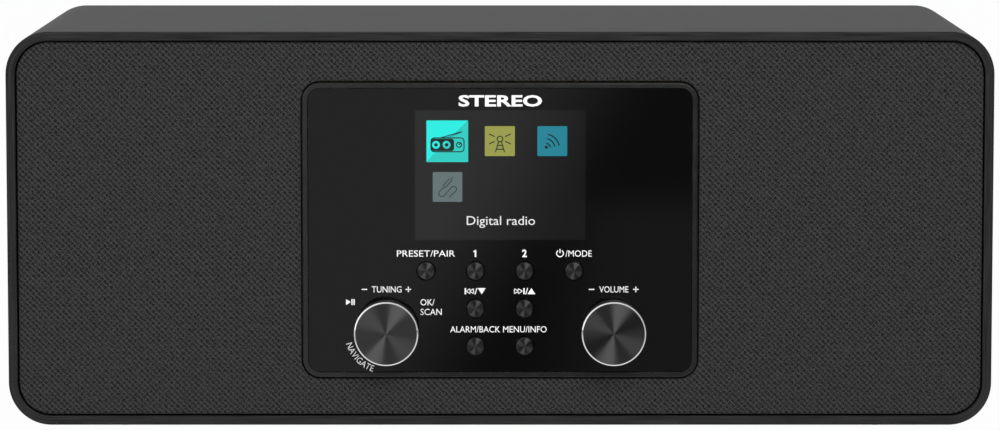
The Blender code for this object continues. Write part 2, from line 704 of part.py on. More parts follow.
# ---------------------------------------------------------------- back
def make_back_panel():
    """The back panel, with bosses for the main board and a ledge for the folded antenna."""
    panel = as_mesh(plate("back_panel", [cabinet_outline(REAR_RIM + GAP)], BACK_Y,
                          BACK_OUT_Y, BLACK_PLASTIC))
    holes = [(x, z, SCREW_R + GAP, COARSE_STEPS) for x, z in screw_places()]
    holes += [(DC_JACK_X, JACK_Z, DC_NOSE_R + GAP, ROUND_STEPS),
              (AUX_JACK_X, JACK_Z, AUDIO_NOSE_R + GAP, ROUND_STEPS),
              (HEADPHONE_JACK_X, JACK_Z, AUDIO_NOSE_R + GAP, ROUND_STEPS),
              (PORT_X, PORT_Z, PORT_R + GAP, FINE_STEPS),
              (ANTENNA_X, ANTENNA_Z, FORK_STEM_R + RUNNING_GAP, ROUND_STEPS)]
    bore_through(panel, holes, BACK_Y, BACK_OUT_Y)
    boss_x = MAIN_BOARD_W / 2 - BOSS_IN
    boss_z = MAIN_BOARD_H / 2 - BOSS_IN
    bury = BACK_T / 2
    for i, (side, level) in enumerate(((-1, -1), (-1, 1), (1, -1), (1, 1))):
        where = (side * boss_x, BACK_Y - (BOSS_L - bury) / 2, MAIN_BOARD_Z + level * boss_z)
        boss = cylinder(f"boss_{i}", where, BOSS_R, BOSS_L + bury, steps=COARSE_STEPS)
        combine(panel, boss, "UNION")
    ledge_top = ANTENNA_Z - SECTION_R - GAP
    ledge = box("ledge", centred(LEDGE_X, LEDGE_W), (BACK_OUT_Y - bury, WHIP_Y + SECTION_R),
                (ledge_top - LEDGE_T, ledge_top))
    combine(panel, ledge, "UNION")
    return set_finish(panel, BLACK_PLASTIC)


def make_screws():
    """Pan-head screws that hold the back panel."""
    head = BACK_OUT_Y + GAP
    crown = head + SCREW_HEAD_T
    profile = [(0, head - SCREW_L), (SCREW_R, head - SCREW_L), (SCREW_R, head),
               (SCREW_HEAD_R, head), (SCREW_HEAD_R, crown - 0.6 * MM),
               (SCREW_HEAD_R - 0.8 * MM, crown), (0, crown)]
    for i, (x, z) in enumerate(screw_places()):
        turned(f"back_screw_{i + 1}", profile, x, z, STEEL, COARSE_STEPS)


def make_jack(name, x, width, nose_r, cutter):
    """A socket on the main board whose nose fills a hole in the back panel."""
    jack = box(name, centred(x, width), (JACK_Y, JACK_FRONT), centred(JACK_Z, width))
    nose_back = JACK_FRONT - THROUGH
    nose = cylinder(f"{name}_nose", (x, (nose_back + BACK_OUT_Y) / 2, JACK_Z), nose_r,
                    BACK_OUT_Y - nose_back)
    combine(jack, nose, "UNION")
    combine(jack, cutter, "DIFFERENCE")
    return set_finish(jack, BLACK_PLASTIC)


def make_electronics():
    """The main board and its three sockets."""
    box("main_board", centred(0, MAIN_BOARD_W), (MAIN_BOARD_Y, MAIN_BOARD_Y + BOARD_T),
        centred(MAIN_BOARD_Z, MAIN_BOARD_H), CIRCUIT_BOARD)
    socket = plate("dc_socket", [circle(DC_JACK_X, JACK_Z, DC_SOCKET_R),
                                 circle(DC_JACK_X, JACK_Z, DC_PIN_R, COARSE_STEPS)],
                   BACK_OUT_Y - DC_DEPTH, BACK_OUT_Y + THROUGH, BLACK_PLASTIC)
    make_jack("dc_jack", DC_JACK_X, DC_JACK_W, DC_NOSE_R, as_mesh(socket))
    for name, x in (("aux_jack", AUX_JACK_X), ("headphone_jack", HEADPHONE_JACK_X)):
        hole_l = AUDIO_DEPTH + THROUGH
        hole_y = BACK_OUT_Y + THROUGH - hole_l / 2
        hole = cylinder(f"{name}_hole", (x, hole_y, JACK_Z), AUDIO_SOCKET_R, hole_l)
        make_jack(name, x, AUDIO_JACK_W, AUDIO_NOSE_R, hole)


def make_port():
    """Bass port: a tube through the back panel with a flange outside."""
    flange_back = BACK_OUT_Y + GAP + PORT_FLANGE_T
    front = flange_back - PORT_L
    inside = PORT_R - PORT_T
    profile = [(PORT_R, front), (PORT_R, BACK_OUT_Y + GAP), (PORT_FLANGE_R, BACK_OUT_Y + GAP),
               (PORT_FLANGE_R, flange_back), (inside + 1 * MM, flange_back),
               (inside, flange_back - 1 * MM), (inside, front)]
    turned("bass_port", profile, PORT_X, PORT_Z, BLACK_PLASTIC, closed=True)


# ---------------------------------------------------------------- antenna
def make_fork():
    """The swivel: a disc and stem that turn in the back panel, and two ears."""
    disc_back = FORK_Y + FORK_DISC_T
    stem_front = FORK_Y - FORK_STEM_L
    fork = cylinder("antenna_fork", (ANTENNA_X, (FORK_Y + disc_back) / 2, ANTENNA_Z),
                    FORK_R, FORK_DISC_T)
    stem_back = FORK_Y + FORK_DISC_T / 2
    stem = cylinder("antenna_stem", (ANTENNA_X, (stem_front + stem_back) / 2, ANTENNA_Z),
                    FORK_STEM_R, stem_back - stem_front)
    combine(fork, stem, "UNION")
    reach = FORK_SLOT / 2 + FORK_EAR_T
    for side, level in (("upper", 1), ("lower", -1)):
        z_range = sorted((ANTENNA_Z + level * FORK_SLOT / 2, ANTENNA_Z + level * reach))
        ear = box(f"{side}_ear", centred(ANTENNA_X, FORK_EAR_W), (disc_back - FORK_DISC_T / 2,
                                                                  FORK_BACK), z_range)
        combine(fork, ear, "UNION")
    bore(fork, "fork_bore", (ANTENNA_X, WHIP_Y, ANTENNA_Z), PIN_R + GAP, 2 * reach + THROUGH,
         UPRIGHT, COARSE_STEPS)
    return set_finish(fork, CHROME)


def make_elbow():
    """The pin through the ears, and the knuckle that turns on it and holds the whip."""
    where = (ANTENNA_X, WHIP_Y, ANTENNA_Z)
    cylinder("antenna_pin", where, PIN_R, PIN_L, UPRIGHT, COARSE_STEPS, STEEL)
    knuckle = cylinder("antenna_knuckle", where, KNUCKLE_R, KNUCKLE_H, UPRIGHT, ROUND_STEPS)
    neck_l = SECTION_START + NECK_L - PIN_R
    neck_x = ANTENNA_X - PIN_R - neck_l / 2
    neck = cylinder("antenna_neck", (neck_x, WHIP_Y, ANTENNA_Z), NECK_R, neck_l, ALONG_WHIP)
    combine(knuckle, neck, "UNION")
    bore(knuckle, "knuckle_bore", where, PIN_R + GAP, KNUCKLE_H + THROUGH, UPRIGHT, COARSE_STEPS)
    return set_finish(knuckle, CHROME)


def make_whip():
    """Five nested sections; heights run from the first section's inner end outwards."""
    where = (ANTENNA_X - SECTION_START, WHIP_Y, ANTENNA_Z)
    radius = SECTION_R
    for i in range(SECTION_COUNT):
        inside = radius - SECTION_WALL
        start = 0 if i == 0 else NECK_L + i * SLIDING_GAP + GAP
        end = SECTION_L + i * SECTION_STEP
        if i < SECTION_COUNT - 1:
            profile = [(inside, end), (radius, end), (radius, start), (inside, start)]
        else:
            tip = end + TIP_L
            profile = [(0, tip), (TIP_R - 1 * MM, tip), (TIP_R, tip - 1 * MM), (TIP_R, end),
                       (radius, end), (radius, start), (0, start)]
        lathe(f"antenna_section_{i + 1}", profile, where, ALONG_WHIP, CHROME, ROUND_STEPS,
              closed=i < SECTION_COUNT - 1)
        radius = inside - SLIDING_GAP


# ---------------------------------------------------------------- cables
def hanging(start, end, sag, steps):
    """Points from start to end with a parabola's sag in Z."""
    points = []
    for i in range(steps + 1):
        share = i / steps
        drop = 4 * sag * share * (1 - share)
        points.append(tuple(a + (b - a) * share for a, b in zip(start, end)))
        points[-1] = (points[-1][0], points[-1][1], points[-1][2] - drop)
    return points


def make_ribbon():
    """Flat cable between the two boards: a curve in the Y-Z plane, widened along X."""
    start = (0, CONTROL_BOARD_Y + BOARD_T + GAP, PANEL_Z)
    end = (0, MAIN_BOARD_Y - GAP, MAIN_BOARD_Z)
    curve = bpy.data.curves.new("ribbon_cable", "CURVE")
    curve.dimensions = "2D"
    curve.fill_mode = "NONE"
    curve.extrude = RIBBON_W / 2
    points = hanging(start, end, RIBBON_SAG, RIBBON_STEPS)
    spline = curve.splines.new("POLY")
    spline.points.add(len(points) - 1)
    for point, (_, y, z) in zip(spline.points, points):
        point.co = (y, z, 0, 1)
    ribbon = add_object("ribbon_cable", curve, (0, 0, 0), (math.pi / 2, 0, math.pi / 2))
    ribbon = as_mesh(ribbon)
    skin = ribbon.modifiers.new("thickness", "SOLIDIFY")
    skin.thickness = RIBBON_T
    skin.offset = 0
    return set_finish(ribbon, CABLE)


def make_lead(side, sign):
    """Two-core speaker lead from the magnet's back to the main board, as one tube."""
    start = (sign * SPEAKER_X, SPEAKER_Y + BASKET_D + MAGNET_T + 2 * GAP, SPEAKER_Z)
    end = (sign * LEAD_X, MAIN_BOARD_Y - GAP, LEAD_Z)
    inner_start = (start[0], start[1] + LEAD_OUT, start[2])
    inner_end = (end[0], end[1] - LEAD_OUT, end[2])
    points = [start] + hanging(inner_start, inner_end, LEAD_SAG, LEAD_STEPS) + [end]
    curve = bpy.data.curves.new(f"{side}_speaker_lead", "CURVE")
    curve.dimensions = "3D"
    curve.bevel_depth = LEAD_R
    curve.bevel_resolution = 1
    curve.use_fill_caps = True
    spline = curve.splines.new("POLY")
    spline.points.add(len(points) - 1)
    for point, place in zip(spline.points, points):
        point.co = (*place, 1)
    return set_finish(add_object(f"{side}_speaker_lead", curve), CABLE)


# ---------------------------------------------------------------- the whole radio
make_cabinet()
make_feet()
make_front()
make_panel()
make_control_board(make_buttons())
for knob, knob_x in (("tuning", -KNOB_X), ("volume", KNOB_X)):
    make_knob(knob, knob_x)
    make_encoder(knob, knob_x)
make_plunger()
for speaker, speaker_x in (("left", -SPEAKER_X), ("right", SPEAKER_X)):
    make_speaker(speaker, speaker_x)
make_back_panel()
make_screws()
make_electronics()
make_port()
make_fork()
make_elbow()
make_whip()
make_ribbon()
make_lead("left", -1)
make_lead("right", 1)

for part in PARTS.objects:
    if part.type == "MESH":
        smooth(part)
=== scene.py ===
# %% [markdown]
# # The looks of a tabletop radio
#
# The working model of this radio already exists as CAD parts with joints.
# This lesson dresses it: each visible part gets a finer mesh in the same
# place, and every part gets a finish that says what it is made of.
#
# The frame is loaded first. Its parts say where everything goes, so sizes
# below are either read from a part or are small details of its surface.
# All sizes are in millimetres, measured from the middle of the cabinet's
# lower front edge: X to the right, Y to the back, Z up.

import math

import bmesh
import bpy
import numpy as np
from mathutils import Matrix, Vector


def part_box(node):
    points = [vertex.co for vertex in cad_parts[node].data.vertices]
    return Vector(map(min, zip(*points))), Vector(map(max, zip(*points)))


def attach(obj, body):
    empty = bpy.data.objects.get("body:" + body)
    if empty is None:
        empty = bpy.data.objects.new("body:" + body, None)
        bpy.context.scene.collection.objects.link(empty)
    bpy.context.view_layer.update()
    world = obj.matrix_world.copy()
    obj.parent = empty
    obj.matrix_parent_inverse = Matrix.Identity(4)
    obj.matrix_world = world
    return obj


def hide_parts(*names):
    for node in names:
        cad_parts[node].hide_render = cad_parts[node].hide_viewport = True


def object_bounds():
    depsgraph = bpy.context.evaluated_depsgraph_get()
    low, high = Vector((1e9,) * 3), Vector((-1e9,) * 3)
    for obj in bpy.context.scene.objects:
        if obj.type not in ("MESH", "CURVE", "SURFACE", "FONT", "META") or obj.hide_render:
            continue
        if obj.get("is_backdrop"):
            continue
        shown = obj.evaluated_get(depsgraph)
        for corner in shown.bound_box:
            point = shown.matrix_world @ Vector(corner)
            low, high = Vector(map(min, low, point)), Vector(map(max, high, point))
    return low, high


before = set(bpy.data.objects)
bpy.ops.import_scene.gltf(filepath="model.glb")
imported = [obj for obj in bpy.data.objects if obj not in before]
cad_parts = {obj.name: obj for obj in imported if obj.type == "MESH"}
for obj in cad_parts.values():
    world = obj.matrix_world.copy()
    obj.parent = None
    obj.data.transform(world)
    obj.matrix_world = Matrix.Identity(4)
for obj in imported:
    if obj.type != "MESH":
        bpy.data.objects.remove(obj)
cad_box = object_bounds()

MM = 0.001
lowest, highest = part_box("cabinet")
EDGE = np.array([(lowest.x + highest.x) / 2, lowest.y, lowest.z]) / MM


def room(node):
    """A CAD part's lowest and highest corner, in millimetres from the edge."""
    low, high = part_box(node)
    return np.array(low) / MM - EDGE, np.array(high) / MM - EDGE


def middle(node):
    """The centre of a CAD part's box, in millimetres from the edge."""
    return sum(room(node)) / 2


CABINET_LOW, CABINET_HIGH = room("cabinet")
print("cabinet, mm:", np.round(CABINET_HIGH - CABINET_LOW, 1))

# %% [markdown]
# ## The camera
#
# A product picture of a radio is taken from well back with a long lens, so
# that its front stays nearly square. The camera stands 1.57 m in front, a
# little above the top, and looks down by six degrees: the top shows as a
# thin dark band, and that is all that tells how deep the cabinet is.

# %% Camera
CAMERA_BACK = 1570.25
CAMERA_UP = 236.5
CAMERA_DOWN_DEGREES = 5.986
CAMERA_LENS = 167.88

camera_data = bpy.data.cameras.new("product_camera")
camera_data.lens = CAMERA_LENS
camera_data.sensor_width = 36
camera_data.sensor_fit = "HORIZONTAL"
camera_data.clip_end = 60
camera = bpy.data.objects.new("product_camera", camera_data)
bpy.context.scene.collection.objects.link(camera)
camera.location = (EDGE + np.array([0, -CAMERA_BACK, CAMERA_UP])) * MM
camera.rotation_euler = (math.radians(90 - CAMERA_DOWN_DEGREES), 0, 0)
bpy.context.scene.camera = camera
bpy.context.scene.view_settings.view_transform = "Standard"
print("camera at, m:", [round(value, 3) for value in camera.location])

# %% [markdown]
# ## Two small helpers for colours and nodes
#
# Colours are picked as they look on a screen, as sRGB hex values, but light
# adds up in linear values. One function turns the first into the second.
# Every shader below is built with one other function, which adds a node,
# sets its properties, and fills or links its sockets.


# %% Colours and nodes
def linear(colour):
    """An sRGB hex colour as linear red, green, blue and full alpha."""
    value = np.array([int(colour[i : i + 2], 16) for i in (1, 3, 5)]) / 255
    low, high = value / 12.92, ((value + 0.055) / 1.055) ** 2.4
    return (*np.where(value <= 0.04045, low, high), 1)


def add(tree, kind, sockets=None, **settings):
    """One node of a tree, with its settings, socket values and links."""
    made = tree.nodes.new("ShaderNode" + kind)
    for name, value in settings.items():
        setattr(made, name, value)
    for name, value in (sockets or {}).items():
        if isinstance(value, bpy.types.NodeSocket):
            tree.links.new(value, made.inputs[name])
        else:
            made.inputs[name].default_value = value
    return made


def principled(name, sockets):
    """A material, its node tree and its shader with these constants."""
    made = bpy.data.materials.new(name)
    made.use_nodes = True
    shader = made.node_tree.nodes["Principled BSDF"]
    for socket, value in sockets.items():
        shader.inputs[socket].default_value = value
    return made, made.node_tree, shader


print("mid grey in linear light:", round(linear("#808080")[0], 3))

def sum_of(tree, operation, first, second, third=0.0):
    """One sum in a shader; the third value counts only in MULTIPLY_ADD."""
    return add(tree, "Math", {0: first, 1: second, 2: third}, operation=operation).outputs[0]


def soft_step(tree, value, start, end, low, high):
    """Changes smoothly from low to high while the value goes from start to end."""
    return add(
        tree,
        "MapRange",
        {"Value": value, "From Min": start, "From Max": end, "To Min": low, "To Max": high},
        interpolation_type="SMOOTHSTEP",
    ).outputs[0]


def chosen(tree, share, without, with_it):
    """One value where share is 0 and the other where it is 1."""
    return add(tree, "Mix", {0: share, 2: without, 3: with_it}).outputs[0]


# %% [markdown]
# ## The studio
#
# The radio stands on a pale floor in a white room. The floor is lit until
# it runs into the white background without a horizon, as in a catalogue.
# In reflections it is bright only near the radio, and dark further out.
# The light on the radio is soft and comes from all round, a bit stronger
# from the left, with one softbox high on the right and one on the left.
#
# Black gloss and turned metal are mirrors, and show what stands round the
# camera more than their own colour. So a photographer dims the wall behind
# the camera, and adds boards that are seen only in reflections. Two bright
# boards make the bright sectors on turned metal. A dark graded board on the
# floor stops the black panel from mirroring the white floor.


# %% Floor and boards
def flat_board(name, corners, shader):
    """One face that is part of the studio and not of the radio."""
    mesh = bpy.data.meshes.new(name)
    face = [tuple(range(len(corners)))]
    mesh.from_pydata(((np.array(corners) + EDGE) * MM).tolist(), [], face)
    mesh.materials.append(shader)
    made = bpy.data.objects.new(name, mesh)
    bpy.context.scene.collection.objects.link(made)
    made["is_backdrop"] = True
    return made


def reflected_only(board):
    """The board shows in glossy surfaces, and nowhere else."""
    board.visible_camera = board.visible_diffuse = False
    board.visible_shadow = board.visible_transmission = False


def lit_paper(name, strength):
    """Paper that gives off even white light."""
    made, tree, shader = principled(name, {})
    light = add(tree, "Emission", {"Strength": strength}).outputs[0]
    tree.links.new(light, tree.nodes["Material Output"].inputs["Surface"])
    return made, tree


FLOOR_REACH = 20000
BRIGHT_REACH = 45  # how far in front of the cabinet reflections show a lit floor
NEAR_FLOOR, FAR_FLOOR = 0.75, 0.07
LIT_SHARE = 0.975  # the rest is matt, and takes the radio's soft shadow
FLOOR_Z = room("foot_front_left")[0][2]
# Painted studio floor: matt white emulsion, lit until it is pure white.
paint, tree, shader = principled("studio_floor_paint", {"Roughness": 1.0})
path = add(tree, "LightPath").outputs
matt = add(tree, "BsdfDiffuse", {"Color": linear("#c8c8c8")}).outputs[0]
seen = sum_of(tree, "MAXIMUM", path["Is Camera Ray"], path["Is Glossy Ray"])
place = add(tree, "SeparateXYZ", {0: add(tree, "TexCoord").outputs["Object"]}).outputs
mirrored = soft_step(
    tree,
    place["Y"],
    (EDGE[1] - BRIGHT_REACH) * MM,
    (EDGE[1] - BRIGHT_REACH / 3) * MM,
    FAR_FLOOR,
    NEAR_FLOOR,
)
strength = chosen(tree, path["Is Camera Ray"], mirrored, 1.0)
glow = add(tree, "Emission", {"Strength": strength}).outputs[0]
share = sum_of(tree, "MULTIPLY", seen, LIT_SHARE)
mixed = add(tree, "MixShader", {0: share, 1: matt, 2: glow}).outputs[0]
tree.links.new(mixed, tree.nodes["Material Output"].inputs["Surface"])
floor_corners = [(-1, -1), (1, -1), (1, 1), (-1, 1)]
flat_board(
    "studio_floor",
    [(x * FLOOR_REACH, y * FLOOR_REACH, FLOOR_Z) for x, y in floor_corners],
    paint,
)

# %% [markdown]
# The graded board is laid on the floor between the radio and the camera.
# A ray from the camera that meets the upright panel at (x, z) runs on to
# the floor at a distance t = (z + f) / (c - z) of the camera's, where c is
# the camera's height and f the floor's depth below the cabinet, and it
# spreads to x (1 + t). The board's shader turns this round, to know which
# spot of the panel each spot of the board shows in.

# %% Graded board
BOARD_NEAR, BOARD_FAR, BOARD_HALF = 30, 1750, 210
SLANT = 0.61  # how far the dark slant leans, mm across for each mm up
SLANT_HALF = 28.0  # half its soft edge
shade, tree = lit_paper("graded_board_print", 1.0)
light = next(node for node in tree.nodes if node.type == "EMISSION")


place = add(tree, "SeparateXYZ", {0: add(tree, "TexCoord").outputs["Object"]})
away = sum_of(
    tree,
    "MULTIPLY_ADD",
    place.outputs["Y"],
    -1 / (CAMERA_BACK * MM),
    EDGE[1] / CAMERA_BACK,
)
spread = sum_of(tree, "ADD", away, 1.0)
panel_x = sum_of(tree, "DIVIDE", sum_of(tree, "MULTIPLY", place.outputs["X"], 1 / MM), spread)
panel_z = sum_of(tree, "DIVIDE", sum_of(tree, "MULTIPLY_ADD", away, CAMERA_UP, FLOOR_Z), spread)
PANEL_LOW, PANEL_HIGH = room("panel_bezel")
PANEL_MIDDLE = (PANEL_LOW[2] + PANEL_HIGH[2]) / 2
lean = sum_of(
    tree,
    "SUBTRACT",
    panel_x,
    sum_of(tree, "MULTIPLY_ADD", panel_z, SLANT, -SLANT * PANEL_MIDDLE),
)
left_light = soft_step(tree, lean, -SLANT_HALF, SLANT_HALF, 1.0, 0.16)
right_lift = soft_step(tree, panel_x, 8.0, 45.0, 0.0, 0.27)
low_only = soft_step(tree, panel_z, PANEL_MIDDLE, PANEL_MIDDLE + 18, 1.0, 0.0)
lift = sum_of(tree, "MULTIPLY", right_lift, low_only)
grade = sum_of(tree, "ADD", left_light, lift)
BOARD_LIGHT = 0.42
tree.links.new(sum_of(tree, "MULTIPLY", grade, BOARD_LIGHT), light.inputs["Strength"])
board = flat_board(
    "graded_board",
    [
        (-BOARD_HALF, -BOARD_FAR, FLOOR_Z + 1),
        (BOARD_HALF, -BOARD_FAR, FLOOR_Z + 1),
        (BOARD_HALF, -BOARD_NEAR, FLOOR_Z + 1),
        (-BOARD_HALF, -BOARD_NEAR, FLOOR_Z + 1),
    ],
    shade,
)
reflected_only(board)

# %% Bright boards for the sectors of turned metal
SECTOR_AWAY, SECTOR_IN, SECTOR_OUT = 900, 200, 1500


def sector_board(name, start, end, strength):
    """A board in front of the panel that fills the angles between start and
    end, in degrees clockwise from the top, about the line to the camera."""
    turn = np.radians([start, start, (start + end) / 2, end, end])
    reach = np.array([SECTOR_IN, SECTOR_OUT, SECTOR_OUT, SECTOR_OUT, SECTOR_IN])
    corners = np.stack([reach * np.sin(turn), 0 * turn, reach * np.cos(turn)], -1)
    corners += (0, -SECTOR_AWAY, middle("tuning_knob")[2])
    reflected_only(flat_board(name, corners, lit_paper(name + "_paper", strength)[0]))


sector_board("high_board", 4, 49, 2.6)
sector_board("left_board", 266, 317, 1.1)

# %% World and lights
LEFT_WALL, RIGHT_WALL = 1.0, 0.45
BEHIND_CAMERA, BARE_WALL = 0.06, 1.15  # shares of that, in reflections
world = bpy.data.worlds.new("white_studio")
bpy.context.scene.world = world
world.use_nodes = True
tree = world.node_tree
path = add(tree, "LightPath").outputs
toward = add(tree, "SeparateXYZ", {0: add(tree, "TexCoord").outputs["Generated"]})
wall = add(
    tree,
    "MapRange",
    {
        "Value": toward.outputs["X"],
        "From Min": -1.0,
        "From Max": 1.0,
        "To Min": LEFT_WALL,
        "To Max": RIGHT_WALL,
    },
).outputs[0]
front = soft_step(tree, toward.outputs["Y"], -0.35, -0.05, BEHIND_CAMERA, BARE_WALL)
mirrored = sum_of(tree, "MULTIPLY", wall, front)
strength = chosen(tree, path["Is Glossy Ray"], wall, mirrored)
strength = chosen(tree, path["Is Camera Ray"], strength, 1.0)
tree.links.new(strength, tree.nodes["Background"].inputs["Strength"])
tree.nodes["Background"].inputs["Color"].default_value = linear("#ffffff")


def softbox(name, clock, tilt, away, size, power):
    """A square area light that faces the panel.
    Seen from the front it stands `clock` degrees clockwise from the top, and
    `tilt` degrees off the line straight out of the panel, `away` mm from it."""
    data = bpy.data.lights.new(name, "AREA")
    data.shape = "SQUARE"
    data.size = size * MM
    data.energy = power
    made = bpy.data.objects.new(name, data)
    bpy.context.scene.collection.objects.link(made)
    turn, off = math.radians(clock), math.radians(tilt)
    out = Vector((math.sin(turn) * math.sin(off), -math.cos(off), 0))
    out.z = math.cos(turn) * math.sin(off)
    made.location = Vector((EDGE * MM).tolist()) + out * away * MM
    made.rotation_euler = out.to_track_quat("Z", "Y").to_euler()
    made.visible_glossy = False


softbox("high_softbox", clock=22, tilt=50, away=2200, size=900, power=26)
softbox("left_softbox", clock=-68, tilt=50, away=2400, size=800, power=14)

# %% [markdown]
# ## Surfaces from arrays
#
# Most parts of a radio are one of three shapes. A **moulding** is a profile
# carried round a rounded rectangle: the cabinet, the bezel, the screen. A
# **turned** part is a profile spun about an axis: knobs, buttons, feet,
# the antenna. A **plate** is a flat outline with holes: the lens and the
# back. The first two are formulas on a grid of points, worked out as whole
# arrays. The third is easiest as a filled flat curve.
#
# No real edge is sharp, and a rounded edge is what catches the light, so
# profiles are rounded with `eased` before they are used.


# %% Outlines and profiles
def eased(corners, ease, closed=True, steps=4):
    """Corner points joined with rounded corners.
    Each corner is left `ease` before it and met again `ease` after it, along
    the curve (1-t)^2 start + 2t(1-t) corner + t^2 end, with t from 0 to 1."""
    corners = np.array(corners, float)
    ease = np.array(np.broadcast_to(ease, len(corners)), float)[:, None]
    if not closed:
        ease[0] = ease[-1] = 0
    back, on = np.roll(corners, 1, 0) - corners, np.roll(corners, -1, 0) - corners
    start = corners + back / np.linalg.norm(back, axis=1)[:, None] * ease
    end = corners + on / np.linalg.norm(on, axis=1)[:, None] * ease
    t = np.linspace(0, 1, steps + 1)[None, :, None]
    start, corner, end = start[:, None], corners[:, None], end[:, None]
    curve = (1 - t) ** 2 * start + 2 * t * (1 - t) * corner + t**2 * end
    curve = curve.reshape(-1, 2)
    if closed:
        curve = np.vstack([curve, curve[:1]])
    step = np.abs(np.diff(curve, axis=0)).max(axis=1)
    return curve[np.r_[True, step > 1e-6]]


def rounded(width, height, radius, inset=0.0, steps=8):
    """Rounded rectangles about the origin, one for each inset.
    Point = corner centre + (radius - inset) * (cos a, sin a), where a runs
    through each quarter turn and the first point is repeated at the end."""
    inset = np.atleast_1d(np.array(inset, float))[:, None]
    quarter = np.arange(4)[:, None]
    angle = (quarter + np.linspace(0, 1, steps + 1)) * np.pi / 2
    side = (quarter + 0.5 + 0 * angle) * np.pi / 2
    angle, side = angle.reshape(1, -1), side.reshape(1, -1)
    angle, side = np.c_[angle, angle[:, :1]], np.c_[side, side[:, :1]]
    bend = np.maximum(radius - inset, 0.02)
    across = np.sign(np.cos(side)) * (width / 2 - inset - bend)
    up = np.sign(np.sin(side)) * (height / 2 - inset - bend)
    return np.stack([across + bend * np.cos(angle), up + bend * np.sin(angle)], -1)


def circle(radius, centre=(0, 0), steps=48):
    """Points round a circle, without the first again."""
    angle = np.arange(steps) * 2 * np.pi / steps
    return np.array(centre) + radius * np.stack([np.cos(angle), np.sin(angle)], -1)


print("points round the cabinet:", rounded(334, 134, 14.5)[0].shape[0])


# %% Skins: grids of points joined into faces
def facing(axis, across, up, along):
    """Three arrays as points: the shape lies across X, Y or Z."""
    order = {"X": (along, across, up), "Y": (across, along, up)}
    return np.stack(order.get(axis, (across, up, along)), -1)


def skin(points, caps=False, uv=None):
    """A grid of points (rows, columns) as quads, with its ends closed or not.
    Its last column repeats its first, and is merged with it later."""
    rows, columns = points.shape[:2]
    at = np.arange(rows * columns).reshape(rows, columns)
    quads = np.stack([at[:-1, :-1], at[:-1, 1:], at[1:, 1:], at[1:, :-1]], -1)
    faces = quads.reshape(-1, 4).tolist()
    if caps:
        faces += [at[0, :-1].tolist(), at[-1, :0:-1].tolist()]
    uv = np.zeros((rows * columns, 2)) if uv is None else uv.reshape(-1, 2)
    return points.reshape(-1, 3), faces, uv


def moulding(profile, width, height, radius, centre=(0, 0), axis="Y", caps=False, steps=8):
    """A profile of (inset, depth) carried round a rounded rectangle.
    Its UV map is the way round and the way along the profile, in mm."""
    inset, depth = np.array(profile, float).T
    ring = rounded(width, height, radius, inset, steps)
    points = facing(
        axis,
        ring[..., 0] + centre[0],
        ring[..., 1] + centre[1],
        depth[:, None] + 0 * ring[..., 0],
    )
    outer = rounded(width, height, radius, 0, steps)[0]
    steps_round = np.linalg.norm(np.diff(outer, axis=0), axis=1)
    way_round = np.r_[0, np.cumsum(steps_round)]
    steps_in = np.linalg.norm(np.diff(np.array(profile, float), axis=0), axis=1)
    way_in = np.r_[0, np.cumsum(steps_in)]
    uv = np.stack(np.broadcast_arrays(way_round[None, :], way_in[:, None]), -1)
    return skin(points, caps, uv)


def turned(profile, centre=(0, 0), axis="Y", steps=48, ripple=None):
    """A profile of (radius, along) spun about an axis through `centre`.
    Point = (r cos a, r sin a, along), with a from 0 to a full turn; `ripple`
    changes the radius by the angle. Its UV map is (r cos a, r sin a) in mm."""
    radius, along = np.array(profile, float).T
    angle = np.linspace(0, 2 * np.pi, steps + 1)[None, :]
    reach = radius[:, None] + (0 if ripple is None else ripple(radius, along, angle))
    across, up = reach * np.cos(angle), reach * np.sin(angle)
    points = facing(axis, across + centre[0], up + centre[1], along[:, None] + 0 * across)
    return skin(points, uv=np.stack([across, up], -1))


def plate(outlines, front, back, ease=0.2, axis="Y"):
    """A flat sheet from closed outlines: the first is its edge, the others
    are holes. A filled curve gets a thickness and eased edges, and becomes
    a mesh."""
    curve = bpy.data.curves.new("outline", "CURVE")
    curve.dimensions, curve.fill_mode = "2D", "BOTH"
    curve.extrude = (back - front) / 2 - ease
    curve.bevel_depth, curve.bevel_resolution, curve.offset = ease, 1, -ease
    for outline in outlines:
        spline = curve.splines.new("POLY")
        spline.points.add(len(outline) - 1)
        rest = np.tile([0.0, 1.0], (len(outline), 1))
        spline.points.foreach_set("co", np.hstack([outline, rest]).ravel())
        spline.use_cyclic_u = True
    return from_curve(curve, (front + back) / 2, axis)


def from_curve(curve, depth, axis="Y"):
    """A flat curve or text as a skin that faces the front at this depth."""
    holder = bpy.data.objects.new("flat", curve)
    mesh = bpy.data.meshes.new_from_object(holder)
    points = np.empty(len(mesh.vertices) * 3)
    mesh.vertices.foreach_get("co", points)
    x, y, z = points.reshape(-1, 3).T
    faces = [list(polygon.vertices) for polygon in mesh.polygons]
    bpy.data.objects.remove(holder)
    bpy.data.meshes.remove(mesh)
    return facing(axis, x, y, z + depth), faces, np.stack([x, y], -1)


